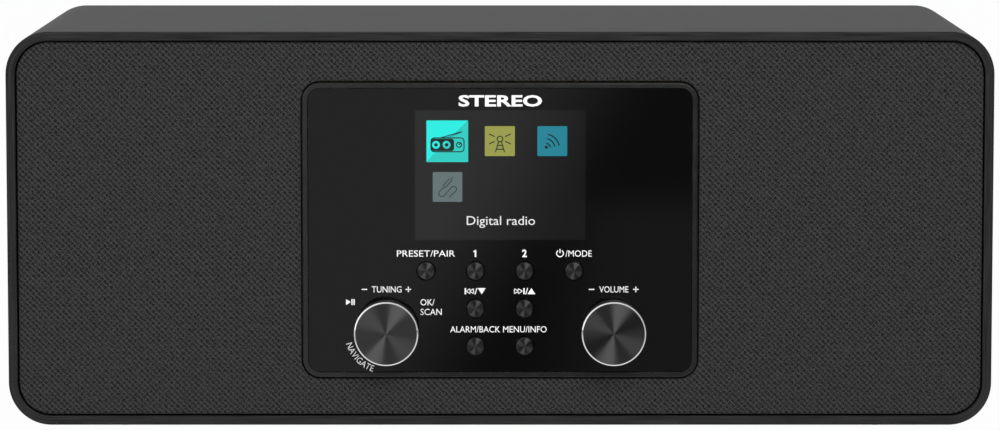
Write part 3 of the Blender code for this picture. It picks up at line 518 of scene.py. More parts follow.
# %% From skins to a piece
def piece(name, skins, finishes, body="root", nodes=(), crease=35, paint=None):
    """One finished object from one or more closed skins.
    Doubles are merged and faces turned outwards. `paint` gives the number
    of the finish for each face from the faces' middles, in mm."""
    starts = np.cumsum([0] + [len(points) for points, _, _ in skins[:-1]])
    points = np.concatenate([points for points, _, _ in skins])
    uv = np.concatenate([uv for _, _, uv in skins])
    faces = [
        [corner + start for corner in face]
        for start, (_, part, _) in zip(starts.tolist(), skins)
        for face in part
    ]
    mesh = bpy.data.meshes.new(name)
    mesh.from_pydata(((points + EDGE) * MM).tolist(), [], faces)
    corners = np.empty(len(mesh.loops), int)
    mesh.loops.foreach_get("vertex_index", corners)
    mesh.uv_layers.new(name="surface_mm").data.foreach_set("uv", uv[corners].ravel())
    build = bmesh.new()
    build.from_mesh(mesh)
    bmesh.ops.remove_doubles(build, verts=build.verts, dist=0.001 * MM)
    bmesh.ops.dissolve_degenerate(build, edges=build.edges, dist=0.001 * MM)
    bmesh.ops.recalc_face_normals(build, faces=build.faces)
    gaps = sum(not edge.is_manifold for edge in build.edges)
    build.to_mesh(mesh)
    build.free()
    for finish in finishes:
        mesh.materials.append(finish)
    if paint is not None:
        middles = np.empty(len(mesh.polygons) * 3)
        mesh.polygons.foreach_get("center", middles)
        which = paint(*(middles.reshape(-1, 3) / MM - EDGE).T)
        mesh.polygons.foreach_set("material_index", np.array(which, int))
    mesh.shade_smooth()
    mesh.set_sharp_from_angle(angle=math.radians(crease))
    made = bpy.data.objects.new(name, mesh)
    bpy.context.scene.collection.objects.link(made)
    even = made.modifiers.new("even_shading", "WEIGHTED_NORMAL")
    even.keep_sharp = True
    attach(made, body)
    if nodes:
        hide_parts(*nodes)
    print(f"{name}: {len(mesh.polygons)} faces, {gaps} open edges")
    return made


# %% [markdown]
# ## Finishes with a grain
#
# Stained veneer, moulded plastic, rubber, paper and fibreboard look
# different, but each is a base colour broken up by a grain of a certain
# size, which also changes how rough and how flat it is. One noise drives
# all three, stretched where the real grain is long.


# %% Grained finishes
def grained(name, colours, rough, grain, relief, stretch=(1, 1, 1), uv=False, **more):
    """A finish from one noise whose cells are `grain` mm wide.
    colours and rough are given for the noise's low and high ends, relief is
    its depth in mm, and stretch makes cells longer on an axis."""
    sockets = {key.replace("_", " "): value for key, value in more.items()}
    made, tree, shader = principled(name, sockets)
    where = add(tree, "TexCoord").outputs["UV" if uv else "Object"]
    unit = 1 if uv else MM
    scale = [1 / (grain * unit * long) for long in stretch]
    place = add(tree, "Mapping", {"Vector": where, "Scale": scale}).outputs[0]
    noise = add(
        tree,
        "TexNoise",
        {"Vector": place, "Scale": 1.0, "Detail": 4.0, "Roughness": 0.6},
    ).outputs["Fac"]
    mix = add(tree, "MapRange", {"Value": noise, "From Min": 0.3, "From Max": 0.7}).outputs[0]
    colour = add(
        tree,
        "Mix",
        {"Factor": mix, 6: linear(colours[0]), 7: linear(colours[1])},
        data_type="RGBA",
    ).outputs[2]
    roughness = add(
        tree,
        "MapRange",
        {"Value": mix, "To Min": rough[0], "To Max": rough[1]},
    ).outputs[0]
    bump = add(tree, "Bump", {"Height": noise, "Distance": relief * MM}).outputs[0]
    tree.links.new(colour, shader.inputs["Base Color"])
    tree.links.new(roughness, shader.inputs["Roughness"])
    tree.links.new(bump, shader.inputs["Normal"])
    return made


# Black-stained ash veneer under a matt lacquer: fine open pores that run the
# way the board was wrapped, seen as faint streaks along every edge.
BLACK_VENEER = grained(
    "black_stained_ash_veneer",
    ("#0c0c0d", "#303031"),
    (0.52, 0.64),
    grain=0.45,
    relief=0.012,
    stretch=(50, 1, 1),
    uv=True,
    Specular_IOR_Level=0.2,
)
# Injection-moulded ABS from a spark-eroded tool: an even satin grain.
BLACK_ABS = grained(
    "moulded_black_abs", ("#1c1c1d", "#222223"), (0.42, 0.55), 0.5, 0.03, IOR=1.53
)
# The same plastic from a polished tool, for trim.
GLOSS_ABS = grained(
    "polished_black_abs", ("#191919", "#1d1d1d"), (0.22, 0.30), 6, 0.002, IOR=1.53
)
# Moulded natural rubber, dusted with talc: nearly no shine.
BLACK_RUBBER = grained(
    "moulded_black_rubber", ("#161616", "#202020"), (0.75, 0.9), 0.4, 0.04, IOR=1.52
)
# Pressed wood fibre, sawn and left bare: warm brown with darker fibres.
FIBREBOARD = grained("bare_fibreboard", ("#6d5138", "#94744f"), (0.8, 0.95), 0.6, 0.05, (6, 1, 1))
# Pulp pressed to a cone and dyed: matt, with fibres of a few millimetres.
CONE_PAPER = grained(
    "dyed_cone_paper", ("#1e1e1e", "#323231"), (0.85, 0.95), 0.7, 0.06, (4, 1, 1)
)
# Glass and epoxy board under green solder resist.
CIRCUIT_BOARD = grained(
    "green_solder_resist", ("#0d3b20", "#135a30"), (0.25, 0.4), 3, 0.02, IOR=1.55
)
# Soft PVC cable jacket, grey, extruded, so its marks run lengthways.
CABLE_JACKET = grained(
    "extruded_grey_pvc", ("#6f7072", "#85868a"), (0.45, 0.6), 0.8, 0.02, (1, 12, 1)
)
# Sintered ferrite, tumbled and dull, the black ceramic of a speaker magnet.
FERRITE = grained("tumbled_ferrite", ("#1d1d1f", "#2b2b2d"), (0.55, 0.7), 1.2, 0.03, IOR=2.3)
print("grained finishes:", len(bpy.data.materials))

# %% [markdown]
# ## The cabinet
#
# The cabinet is a board bent round into a rounded box, open at the front
# and the back, and wrapped in black-stained veneer. It could be a box with
# a bevel, but its walls, its rounded edges and the two rebates that
# hold the grille and the back panel are all one profile, so it is made as
# one moulding. The veneer's grain needs the way round as a coordinate, which
# the moulding gives as its UV map.

# %% Cabinet
CORNER_R = 14.5
WALL = 9.0
FRONT_RIM, REAR_RIM = 3.1, 3.5
FRONT_REBATE = 14.5
REAR_REBATE = 6.3
DEPTH = CABINET_HIGH[1]
WIDTH = CABINET_HIGH[0] - CABINET_LOW[0]
HEIGHT = CABINET_HIGH[2]
CABINET_MIDDLE = (0, HEIGHT / 2)
cabinet_profile = eased(
    [
        (0, 0),
        (FRONT_RIM, 0),
        (FRONT_RIM, FRONT_REBATE),
        (WALL, FRONT_REBATE),
        (WALL, DEPTH - REAR_REBATE),
        (REAR_RIM, DEPTH - REAR_REBATE),
        (REAR_RIM, DEPTH),
        (0, DEPTH),
    ],
    [0.7, 0.4, 0.1, 0.3, 0.3, 0.1, 0.4, 0.7],
)
shell = moulding(cabinet_profile, WIDTH, HEIGHT, CORNER_R, CABINET_MIDDLE, steps=16)

BLOCK, BLOCK_DEPTH = 15.0, 30.0
block_skins = []
for screw in range(1, 7):
    x, _, z = middle(f"back_screw_{screw}")
    side = np.sign(round(x))
    block_x = side * (WIDTH / 2 - WALL - BLOCK / 2 + 0.4) if side else 0.0
    block_z = WALL + BLOCK / 2 - 0.4 if z < HEIGHT / 2 else HEIGHT - WALL - BLOCK / 2 + 0.4
    block_back = DEPTH - REAR_REBATE
    block_skins.append(
        moulding(
            [(0.5, block_back - BLOCK_DEPTH), (0, block_back - BLOCK_DEPTH + 0.5)]
            + [(0, block_back - 0.3), (0.3, block_back)],
            BLOCK,
            BLOCK,
            1.0,
            (block_x, block_z),
            caps=True,
            steps=3,
        )
    )
piece(
    "cabinet_shell",
    [shell, *block_skins],
    [BLACK_VENEER],
    nodes=["cabinet"],
)

# %% [markdown]
# ## The grille cloth
#
# Speaker cloth is a thin polyester weave, stretched over a frame and glued
# behind. It is a flat sheet that turns back at its edges and round the
# opening for the panel, so the mesh runs in rings from the outer edge to
# the opening, and Solidify gives it the thickness of two threads.
#
# The weave repeats every four threads both ways. Its floats line up in ribs
# that run down to the right, crossed by weaker ribs the other way, and
# single threads show between them. So its height is a sum of waves, each
# with whole numbers of ridges across and up the repeat, and fine fluff.

# %% Woven cloth
REPEAT = 2.03
THREAD_RELIEF = 0.10
RIBS = [  # ridges across, ridges up, share of the height
    (1, 1, 1.0),
    (1, -1, 0.55),
    (2, 2, 0.4),
    (2, -2, 0.45),
    (1, 2, 0.3),
    (2, 1, 0.3),
    (0, 1, 0.2),
]

CLOTH, tree, shader = principled(
    "dobby_woven_polyester", {"Roughness": 0.85, "IOR": 1.5, "Specular IOR Level": 0.3}
)
place = add(tree, "TexCoord").outputs["Object"]
height = 0.0
for across, up, share in RIBS:
    turn = 2 * np.pi / (REPEAT * MM)
    phase = add(
        tree,
        "VectorMath",
        {0: place, 1: (across * turn, 0, up * turn)},
        operation="DOT_PRODUCT",
    ).outputs["Value"]
    wave = add(tree, "Math", {0: phase}, operation="COSINE").outputs[0]
    height = sum_of(tree, "MULTIPLY_ADD", wave, share, height)
fluff = add(
    tree,
    "TexNoise",
    {"Vector": place, "Scale": 1 / (0.45 * MM), "Detail": 1.0, "Roughness": 0.6},
).outputs["Fac"]
FLUFF = 7.0
height = sum_of(tree, "MULTIPLY_ADD", fluff, FLUFF, height)
lift = add(
    tree,
    "MapRange",
    {0: height, "From Min": FLUFF / 2 - 1.75, "From Max": FLUFF / 2 + 1.75},
).outputs[0]
# The colour follows the thread height. The low places between threads are painted darker, as
# painted shade, and the raised floats are painted lighter.
shaded_weave_colour = add(
    tree,
    "Mix",
    {"Factor": lift, 6: linear("#0c0c0c"), 7: linear("#3b3b3b")},
    data_type="RGBA",
).outputs[2]
bump = add(tree, "Bump", {"Height": lift, "Distance": THREAD_RELIEF * MM}).outputs[0]
tree.links.new(shaded_weave_colour, shader.inputs["Base Color"])
tree.links.new(bump, shader.inputs["Normal"])

# %% Grille cloth
CLOTH_LOW, CLOTH_HIGH = room("grille_cloth")
CLOTH_W, CLOTH_H = CLOTH_HIGH[0] - CLOTH_LOW[0], CLOTH_HIGH[2] - CLOTH_LOW[2]
CLOTH_MIDDLE = (CLOTH_LOW[2] + CLOTH_HIGH[2]) / 2
CLOTH_R = CORNER_R - (WIDTH - CLOTH_W) / 2
PANEL_W, PANEL_H = PANEL_HIGH[0] - PANEL_LOW[0], PANEL_HIGH[2] - PANEL_LOW[2]
PANEL_R = 6.0
TRIM_GAP = 0.5
CLOTH_T = 0.22
turn_back = np.array([(0, 0.35), (0.06, 0.17), (0.2, 0.05), (0.5, 0.0), (1.5, 0.0)])
outer = rounded(CLOTH_W, CLOTH_H, CLOTH_R, turn_back[:, 0])
opening = rounded(
    PANEL_W + 2 * TRIM_GAP, PANEL_H + 2 * TRIM_GAP, PANEL_R + TRIM_GAP, -turn_back[:, 0]
)[::-1]
outer[..., 1] += CLOTH_MIDDLE
opening[..., 1] += PANEL_MIDDLE
between = np.linspace(0, 1, 12)[1:-1, None, None]
plain = (1 - between) * outer[-1] + between * opening[0]
rings = np.concatenate([outer, plain, opening])
depth = np.r_[turn_back[:, 1], 0 * between.ravel(), turn_back[::-1, 1]] + CLOTH_LOW[1]
cloth = piece(
    "grille_cloth_woven",
    [skin(facing("Y", rings[..., 0], rings[..., 1], depth[:, None] + 0 * rings[..., 0]))],
    [CLOTH],
    nodes=["grille_cloth"],
)
normal = np.empty(len(cloth.data.polygons) * 3)
cloth.data.polygons.foreach_get("normal", normal)
if normal.reshape(-1, 3)[:, 1].mean() > 0:
    cloth.data.flip_normals()
thick = cloth.modifiers.new("thread_thickness", "SOLIDIFY")
thick.thickness = CLOTH_T * MM
thick.offset = -1

# %% [markdown]
# ## The control panel
#
# The panel is a black frame that holds a smoke-tinted acrylic lens. The
# frame's edge is chamfered outside, and inside a lip meets the lens: that
# is a moulding. Its floor, behind the lens, is a plate with openings for
# the screen, the buttons and the knobs' shafts. The lens is the same kind
# of plate, and lets the screen through. Black ink on its back hides the rest.

# %% Bezel and lens
BEZEL_RIM, BEZEL_LIP = 1.5, 1.76  # the wall, and the lip that meets the lens
LENS_LOW, LENS_HIGH = room("panel_lens")
LENS_W, LENS_H = LENS_HIGH[0] - LENS_LOW[0], LENS_HIGH[2] - LENS_LOW[2]
LENS_R = PANEL_R - (PANEL_W - LENS_W) / 2
BUTTONS = ["preset", "1", "2", "mode", "previous", "next", "alarm", "menu"]
BUTTON_GAP = 0.3
BUSHING_HOLE_R = 4.1
BUTTON_R = 2.95

PANEL_CENTRE = (0, PANEL_MIDDLE)
holes = [
    circle(BUTTON_R + BUTTON_GAP, middle(f"button_{name}")[[0, 2]], 32)
    for name in BUTTONS
] + [circle(BUSHING_HOLE_R, middle(f"{knob}_knob")[[0, 2]], 32) for knob in ("tuning", "volume")]
FLOOR_FRONT, FLOOR_BACK = LENS_HIGH[1] + 0.3, PANEL_HIGH[1]
rim = moulding(
    eased(
        [
            (0, FLOOR_BACK),
            (0, PANEL_LOW[1] + 0.35),
            (0.35, PANEL_LOW[1]),
            (BEZEL_LIP, PANEL_LOW[1]),
            (BEZEL_LIP, LENS_LOW[1] + 0.4),
            (BEZEL_RIM, LENS_LOW[1] + 0.8),
            (BEZEL_RIM, FLOOR_BACK),
        ],
        [0.1, 0.12, 0.12, 0.12, 0.05, 0.05, 0.1],
    ),
    PANEL_W,
    PANEL_H,
    PANEL_R,
    PANEL_CENTRE,
    steps=12,
)
DISPLAY_LOW, DISPLAY_HIGH = room("display_module")
DISPLAY_MIDDLE = (DISPLAY_LOW[2] + DISPLAY_HIGH[2]) / 2
WINDOW_W, WINDOW_H = 60.0, 46.0
floor_edge = rounded(PANEL_W, PANEL_H, PANEL_R, BEZEL_RIM - 0.1, 12)[0, :-1]
window = rounded(WINDOW_W, WINDOW_H, 1.0, 0, 4)[0, :-1]
bezel_floor = plate(
    [floor_edge + PANEL_CENTRE, window + (0, DISPLAY_MIDDLE), *holes],
    FLOOR_FRONT,
    FLOOR_BACK,
    ease=0.1,
)
piece(
    "panel_bezel_frame",
    [rim, bezel_floor],
    [GLOSS_ABS],
    nodes=["panel_bezel"],
    crease=20,
)

# Cast acrylic with a smoke tint, polished: a black mirror with depth.
SMOKED_ACRYLIC, tree, shader = principled(
    "smoke_tinted_acrylic",
    {"Base Color": linear("#b4b4b4"), "Roughness": 0.0, "IOR": 1.49, "Transmission Weight": 1.0},
)
lens_edge = rounded(LENS_W, LENS_H, LENS_R, 0, 12)[0, :-1]
piece(
    "panel_lens_tinted",
    [plate([lens_edge + PANEL_CENTRE, *holes], LENS_LOW[1], LENS_HIGH[1], ease=0.15)],
    [SMOKED_ACRYLIC],
    nodes=["panel_lens"],
    crease=20,
)

# Black ink printed on the back of the lens, which hides all but the screen.
BLACK_INK = grained(
    "black_screen_print",
    ("#020202", "#040404"),
    (0.9, 1.0),
    0.5,
    0.002,
    Specular_IOR_Level=0.0,
)
LIT_W, LIT_H = 57.4, 43.8
LIT_CENTRE = (0.08, 85.15)
INK_T = 0.1
print_edge = rounded(LENS_W, LENS_H, LENS_R, 0.3, 12)[0, :-1]
lit_window = rounded(LIT_W + 0.4, LIT_H + 0.4, 0.5, 0, 4)[0, :-1]
piece(
    "lens_back_print",
    [
        plate(
            [print_edge + PANEL_CENTRE, lit_window + LIT_CENTRE, *holes],
            LENS_HIGH[1] + 0.05,
            LENS_HIGH[1] + 0.05 + INK_T,
            ease=0.02,
        )
    ],
    [BLACK_INK],
    crease=20,
)

# %% [markdown]
# ## The screen
#
# Behind the lens is a small colour screen in a black frame. What it shows
# is light and not paint, so its tiles and words are thin layers that glow a
# little. The menu has four sources: a portable radio, a mast, wireless
# and a jack plug, each a plain pictogram drawn with strokes of one width.


# %% Strokes and lettering
def stroke(path, width, front, back):
    """A line of one width through points in X and Z, as a thin closed bar.
    Its edges are the path plus and minus half the width along the normal."""
    path = np.array(path, float)
    way = np.gradient(path, axis=0)
    way /= np.linalg.norm(way, axis=1)[:, None]
    normal = np.stack([-way[:, 1], way[:, 0]], -1) * width / 2
    left, right = path + normal, path - normal
    across = np.stack([left, right, right, left, left], 1)
    depth = np.array([front, front, back, back, front]) + 0 * across[..., 0]
    return skin(facing("Y", across[..., 0], across[..., 1], depth), caps=True)


def arc(centre, radius, start, end, steps=24):
    """Points on a circle between two angles in degrees, from +X upwards."""
    angle = np.radians(np.linspace(start, end, steps + 1))
    return np.array(centre) + radius * np.stack([np.cos(angle), np.sin(angle)], -1)


def smooth(points, steps=8):
    """A flowing line through points: each coordinate is a cubic Hermite
    spline whose slope at a point is half the step between its neighbours."""
    points = np.array(points, float)
    slope = np.gradient(points, axis=0)
    t = np.linspace(0, 1, steps, endpoint=False)[:, None]
    a, b, m, n = (values[:, None] for values in (points[:-1], points[1:], slope[:-1], slope[1:]))
    path = (
        (2 * t**3 - 3 * t**2 + 1) * a
        + (t**3 - 2 * t**2 + t) * m
        + (3 * t**2 - 2 * t**3) * b
        + (t**3 - t**2) * n
    )
    return np.vstack([path.reshape(-1, 2), points[-1:]])


def letters(words, bold=0.0):
    """Words in the built-in font, centred, one unit high, as a flat skin."""
    curve = bpy.data.curves.new("words", "FONT")
    curve.body, curve.align_x = words, "CENTER"
    curve.offset, curve.extrude, curve.resolution_u = bold, 0.5, 3
    return from_curve(curve, 0)


CAP_HEIGHT = np.ptp(letters("H")[0][:, 2])


def legend(words, left, right, low, cap, front, back, bold=0.0):
    """Words fitted between two X values, on a baseline, at a cap height."""
    points, faces, uv = letters(words, bold)
    x, y, z = points.T
    x = left + (x - x.min()) * (right - left) / np.ptp(x)
    y = front + (y + 0.5) * (back - front)
    return np.stack([x, y, low + z * cap / CAP_HEIGHT], -1), faces, uv


print("cap height of the built-in font:", round(float(CAP_HEIGHT), 3))


# %% Screen finishes
def glowing(name, colour, strength):
    """A lit part of the screen: a dark gloss layer with light of its own."""
    made, tree, shader = principled(
        name,
        {
            "Base Color": linear("#050505"),
            "Roughness": 0.3,
            "Emission Color": linear(colour),
            "Emission Strength": strength,
        },
    )
    return made


TEAL_LIT = glowing("screen_teal_lit", "#23eee4", 2.29)
TEAL_SHADE = glowing("screen_teal_shade", "#2acdc3", 2.29)
OLIVE = glowing("screen_olive", "#9ca04c", 2.19)
BLUE = glowing("screen_blue", "#218498", 2.26)
GREY = glowing("screen_grey", "#647576", 2.17)
ICON_INK = glowing("screen_icon_ink", "#1c3a3c", 0.8)
SCREEN_WORDS = glowing("screen_words", "#e8e8e8", 2.4)
# Back-lit liquid crystal showing dark grey. Its glow is graded as a painted reflection, brighter
# on the left like the reflection across the lens.
BACKLIGHT, tree, shader = principled(
    "backlit_liquid_crystal", {"Base Color": linear("#050505"), "Roughness": 0.3}
)
across = add(tree, "SeparateXYZ", {0: add(tree, "TexCoord").outputs["Object"]})
# Painted reflection: the glow is stronger on the left and weaker on the right.
glow_with_painted_reflection = add(
    tree,
    "MapRange",
    {
        "Value": across.outputs["X"],
        "From Min": -30 * MM,
        "From Max": 30 * MM,
        "To Min": 0.031,
        "To Max": 0.012,
    },
).outputs[0]
tree.links.new(glow_with_painted_reflection, shader.inputs["Emission Strength"])
shader.inputs["Emission Color"].default_value = linear("#ffffff")

# %% Screen
MODULE_W, MODULE_H = DISPLAY_HIGH[0] - DISPLAY_LOW[0], DISPLAY_HIGH[2] - DISPLAY_LOW[2]
GLASS_Y = DISPLAY_LOW[1] + 0.3
BACK_Y = DISPLAY_HIGH[1]
module = moulding(
    eased([(20, GLASS_Y), (0, GLASS_Y), (0, BACK_Y), (20, BACK_Y)], 0.3, closed=False),
    MODULE_W,
    MODULE_H,
    1.2,
    (0, DISPLAY_MIDDLE),
    caps=True,
)
piece("display_frame", [module], [GLOSS_ABS], nodes=["display_module"])
LAYER = 0.06
CRYSTAL_Y = GLASS_Y - 0.12
piece(
    "display_crystal",
    [
        moulding(
            [(0.1, CRYSTAL_Y), (0, CRYSTAL_Y + 0.03), (0, GLASS_Y + 0.05)],
            LIT_W + 0.8,
            LIT_H + 0.8,
            0.5,
            LIT_CENTRE,
            caps=True,
        )
    ],
    [BACKLIGHT],
)
HALF_GAP = 0.03  # keeps the halves of a split tile separate solids
BEHIND = 0.4  # how much lower things behind the lens stand than they seem


def tile(name, left, right, low, high, finishes, split=False):
    """A square of the menu, one thin layer in front of the crystal. When it
    is split, the half above its rising diagonal has the lighter finish."""
    low, high = low - BEHIND, high - BEHIND
    size = (right - left, high - low)
    centre = ((left + right) / 2, (low + high) / 2)
    front = CRYSTAL_Y - LAYER
    if not split:
        skins = [
            moulding(
                [(0.06, front), (0, front + 0.02), (0, CRYSTAL_Y + 0.02)],
                *size,
                0.35,
                centre,
                caps=True,
            )
        ]
        return piece(name, skins, finishes)
    halves = [
        [(left + HALF_GAP, low), (right, low), (right, high - HALF_GAP)],
        [(left, low + HALF_GAP), (right - HALF_GAP, high), (left, high)],
    ]
    skins = [plate([np.array(half)], front, CRYSTAL_Y + 0.02, ease=0.01) for half in halves]
    rise = (high - low) / (right - left)
    return piece(
        name,
        skins,
        finishes,
        paint=lambda x, y, z: z - low > (x - left) * rise,
    )


tile("menu_tile_radio", -24.93, -10.79, 89.83, 103.98, [TEAL_SHADE, TEAL_LIT], True)
tile("menu_tile_mast", -5.14, 5.04, 91.87, 102.05, [OLIVE])
tile("menu_tile_wireless", 12.67, 22.79, 91.87, 102.05, [BLUE])
tile("menu_tile_plug", -22.83, -12.79, 76.27, 86.43, [GREY])

# %% Pictograms
INK_FRONT, INK_BACK = CRYSTAL_Y - 2 * LAYER, CRYSTAL_Y - LAYER + 0.02
LINE = 0.37
ink = [INK_FRONT, INK_BACK]


def lines(paths, width=LINE):
    """Several strokes at the depth of the screen's ink."""
    return [stroke(np.array(path) - (0, BEHIND), width, *ink) for path in paths]


def filled(outlines):
    """A flat shape at the depth of the screen's ink."""
    return plate([np.array(o) - (0, BEHIND) for o in outlines], *ink, ease=0.01)


RADIO_CENTRE, RADIO_W, RADIO_H = np.array([-17.8, 95.7]), 11.2, 4.7
body_outline = rounded(RADIO_W, RADIO_H, 1.1, 0, 4)[0]
speaker_side = rounded(7.7, RADIO_H - 0.5, 0.9, 0, 4)[0, :-1] + RADIO_CENTRE
speakers = [circle(1.35, RADIO_CENTRE + (x, 0), 20) for x in (-3.9, -0.3)]
dial = RADIO_CENTRE + (3.9, 0)
radio_icon = [
    *lines([body_outline + RADIO_CENTRE]),
    filled([speaker_side - (1.6, 0), *speakers]),
    *lines([arc(dial, 0.85, 0, 360), [dial, dial + (0.5, 0.6)]]),
    *(filled([circle(0.6, RADIO_CENTRE + (x, 0), 16)]) for x in (-3.9, -0.3)),
    *lines([[(-20.3, 98.0), (-17, 99.0), (-12.9, 100.2)]], 0.34),
    *lines([[(-19.0, 97.9), (-17, 98.5), (-12.9, 100.1)]], 0.2),
]
MAST = np.array([0.0, 97.7])
mast_icon = lines(
    [arc(MAST, 0.95, 0, 360)]
    + [[MAST + (side * 0.45, -0.9), MAST + (side * 1.55, -4.5)] for side in (-1, 1)]
    + [[(-half, z), (half, z)] for half, z in ((0.75, 95.5), (1.15, 94.2))]
    + [
        [(side * 1.75, 97.7 + up * 0.8), (side * 3.7, 97.7 + up * 1.7)]
        for side in (-1, 1)
        for up in (-1, 1)
    ],
    0.36,
)
FAN = np.array([15.4, 94.6])
wireless_icon = [
    *lines([arc(FAN, radius, 10, 80) for radius in (1.7, 3.2, 4.7)], 0.42),
    filled([circle(0.55, FAN + (0.3, 0.3), 16)]),
]
PLUG = np.array([-17.8, 82.7])
SLOPE = np.array([0.68, 0.73])
ASIDE = np.array([-0.73, 0.68])
# It stops just short of its start, so that its two ends stay apart.
plug_body = [(-1.7, 0), (-1.7, 0.5), (1.7, 0.5), (1.7, -0.5), (-1.7, -0.5), (-1.7, -0.02)]
plug_icon = lines(
    [
        [PLUG + p * SLOPE + q * ASIDE for p, q in plug_body],
        [PLUG + 1.7 * SLOPE, PLUG + 2.9 * SLOPE],
        smooth(
            [
                (-19.0, 81.3),
                (-20.6, 79.6),
                (-20.6, 78.5),
                (-19.3, 78.2),
                (-17.6, 79.9),
                (-16.3, 81.3),
                (-15.1, 81.4),
                (-14.8, 80.3),
                (-16.1, 79.0),
                (-17.2, 77.8),
            ]
        ),
    ],
    0.28,
)
piece(
    "menu_pictograms",
    [*radio_icon, *mast_icon, *wireless_icon, *plug_icon],
    [ICON_INK],
)
piece(
    "menu_words",
    [
        legend(
            "Digital radio",
            -11.3,
            11.9,
            68.4 - BEHIND,
            3.0,
            CRYSTAL_Y - LAYER,
            CRYSTAL_Y + 0.02,
        )
    ],
    [SCREEN_WORDS],
)

# %% [markdown]
# ## Turned metal
#
# The knob caps and buttons are faced on a lathe. The tool leaves grooves in
# rings, so light spreads across the rings and not along them, and each lamp
# shows as a bright sector. An anisotropic metal does that when it is told
# which way is across the grooves: outwards. A turned mesh has its distances
# from the axis as its UV map, so one finish fits every knob and button.
# The rim of a cap is cut once more with a diamond tool, and is bright.


# %% Spun metal
def spun(name, colour, roughness, anisotropy):
    """A faced metal whose fine grooves run round its axis, so that a light's
    reflection is drawn out along the radius."""
    made, tree, shader = principled(
        name,
        {
            "Base Color": linear(colour),
            "Metallic": 1.0,
            "Roughness": roughness,
            "Anisotropic": anisotropy,
        },
    )
    spot = add(tree, "SeparateXYZ", {0: add(tree, "TexCoord").outputs["UV"]})
    outward = add(tree, "CombineXYZ", {"X": spot.outputs["X"], "Z": spot.outputs["Y"]}).outputs[0]
    way = add(
        tree,
        "VectorTransform",
        {0: outward},
        vector_type="VECTOR",
        convert_from="OBJECT",
        convert_to="WORLD",
    ).outputs[0]
    way = add(tree, "VectorMath", {0: way}, operation="NORMALIZE").outputs[0]
    tree.links.new(way, shader.inputs["Tangent"])
    return made


# Aluminium, faced and dyed black by anodising: sectors of dark grey.
SPUN_CAP = spun("spun_black_anodised_aluminium", "#666667", 0.30, 1.0)
# Its rim, cut through the dye with a diamond tool: bare and bright.
CUT_RIM = spun("diamond_cut_aluminium", "#fafafa", 0.14, 0.3)
# Buttons: ABS with a vacuum-plated dark face, turned in the same pattern.
SPUN_BUTTON = spun("plated_dark_button_face", "#58585a", 0.32, 1.0)
# Zinc-plated steel for shafts, screws and speaker baskets.
STEEL = grained(
    "zinc_plated_steel", ("#9b9da0", "#b9bbbd"), (0.25, 0.4), 2.5, 0.005, Metallic=1.0
)
# Brass tube, drawn, polished and plated with chrome.
CHROME = grained(
    "chromed_brass", ("#cfd0d2", "#dddddf"), (0.08, 0.14), 4, 0.001, (10, 1, 1), Metallic=1.0
)

# %% Knobs
KNOB_R = 10.95
CHAMFER = 0.5
KNURLS = 90
KNURL_DEPTH = 0.12
for knob in ("tuning", "volume"):
    cap_low, cap_high = room(f"{knob}_knob_cap")
    body_low, body_high = room(f"{knob}_knob")
    centre = middle(f"{knob}_knob_cap")[[0, 2]]
    face, back = cap_low[1], cap_high[1]
    cap = turned(
        [(0, face), (KNOB_R - CHAMFER - 0.3, face), (KNOB_R - CHAMFER - 0.05, face)]
        + [(KNOB_R - CHAMFER, face), (KNOB_R - 0.08, face + CHAMFER - 0.08)]
        + [(KNOB_R, face + CHAMFER + 0.08), (KNOB_R, back - 0.1)]
        + [(KNOB_R - 0.1, back), (0, back)],
        centre,
        steps=96,
    )
    piece(
        f"{knob}_cap_turned",
        [cap],
        [SPUN_CAP, CUT_RIM],
        body=f"{knob}_knob",
        nodes=[f"{knob}_knob_cap"],
        crease=18,
        paint=lambda x, y, z: np.hypot(x - centre[0], z - centre[1])
        > KNOB_R - CHAMFER - 0.06,
    )
    grip = eased(
        [
            (0, body_low[1]),
            (KNOB_R, body_low[1]),
            (KNOB_R, body_high[1]),
            (3.3, body_high[1]),
            (3.3, body_high[1] - 4.9),
            (0, body_high[1] - 4.9),
        ],
        [0, 0.4, 0.4, 0.2, 0.1, 0],
        closed=False,
    )
    grip = np.vstack([grip[:6], [(KNOB_R, y) for y in (-5.2, -1.2)], grip[6:]])
    piece(
        f"{knob}_grip",
        [
            turned(
                grip,
                centre,
                steps=KNURLS * 4,
                ripple=lambda r, y, a: -KNURL_DEPTH
                * (r > KNOB_R - 0.01)[:, None]
                * (0.5 + 0.5 * np.cos(KNURLS * a)),
            )
        ],
        [BLACK_ABS],
        body=f"{knob}_knob",
        nodes=[f"{knob}_knob"],
    )

# %% Buttons
BUTTON_CHAMFER = 0.3
FLANGE_R, STEM_R = 4.0, 1.5
for name in BUTTONS:
    low, high = room(f"button_{name}")
    centre = middle(f"button_{name}")[[0, 2]]
    face, flange, stem = low[1], 4.8, high[1]
    profile = [(0, face), (BUTTON_R - BUTTON_CHAMFER - 0.1, face)] + [
        (BUTTON_R - BUTTON_CHAMFER, face + 0.01),
        (BUTTON_R - 0.05, face + BUTTON_CHAMFER - 0.04),
        (BUTTON_R, face + BUTTON_CHAMFER + 0.05),
        (BUTTON_R, flange),
        (FLANGE_R, flange),
        (FLANGE_R, flange + 1),
        (STEM_R, flange + 1),
        (STEM_R, stem - 0.2),
        (STEM_R - 0.2, stem),
        (0, stem),
    ]
    piece(
        f"button_{name}_turned",
        [turned(profile, centre, steps=48)],
        [SPUN_BUTTON, BLACK_ABS],
        body=f"button_{name}",
        nodes=[f"button_{name}"],
        crease=18,
        paint=lambda x, y, z: y > 1.0,
    )

# %% [markdown]
# ## Printed legends
#
# The names of the controls are screen-printed on the lens in white. Text in
# the built-in font is made a mesh, and then fitted to the width and height
# that the real print has. The symbols are strokes and small plates. All of
# it is one piece, because it is one print.

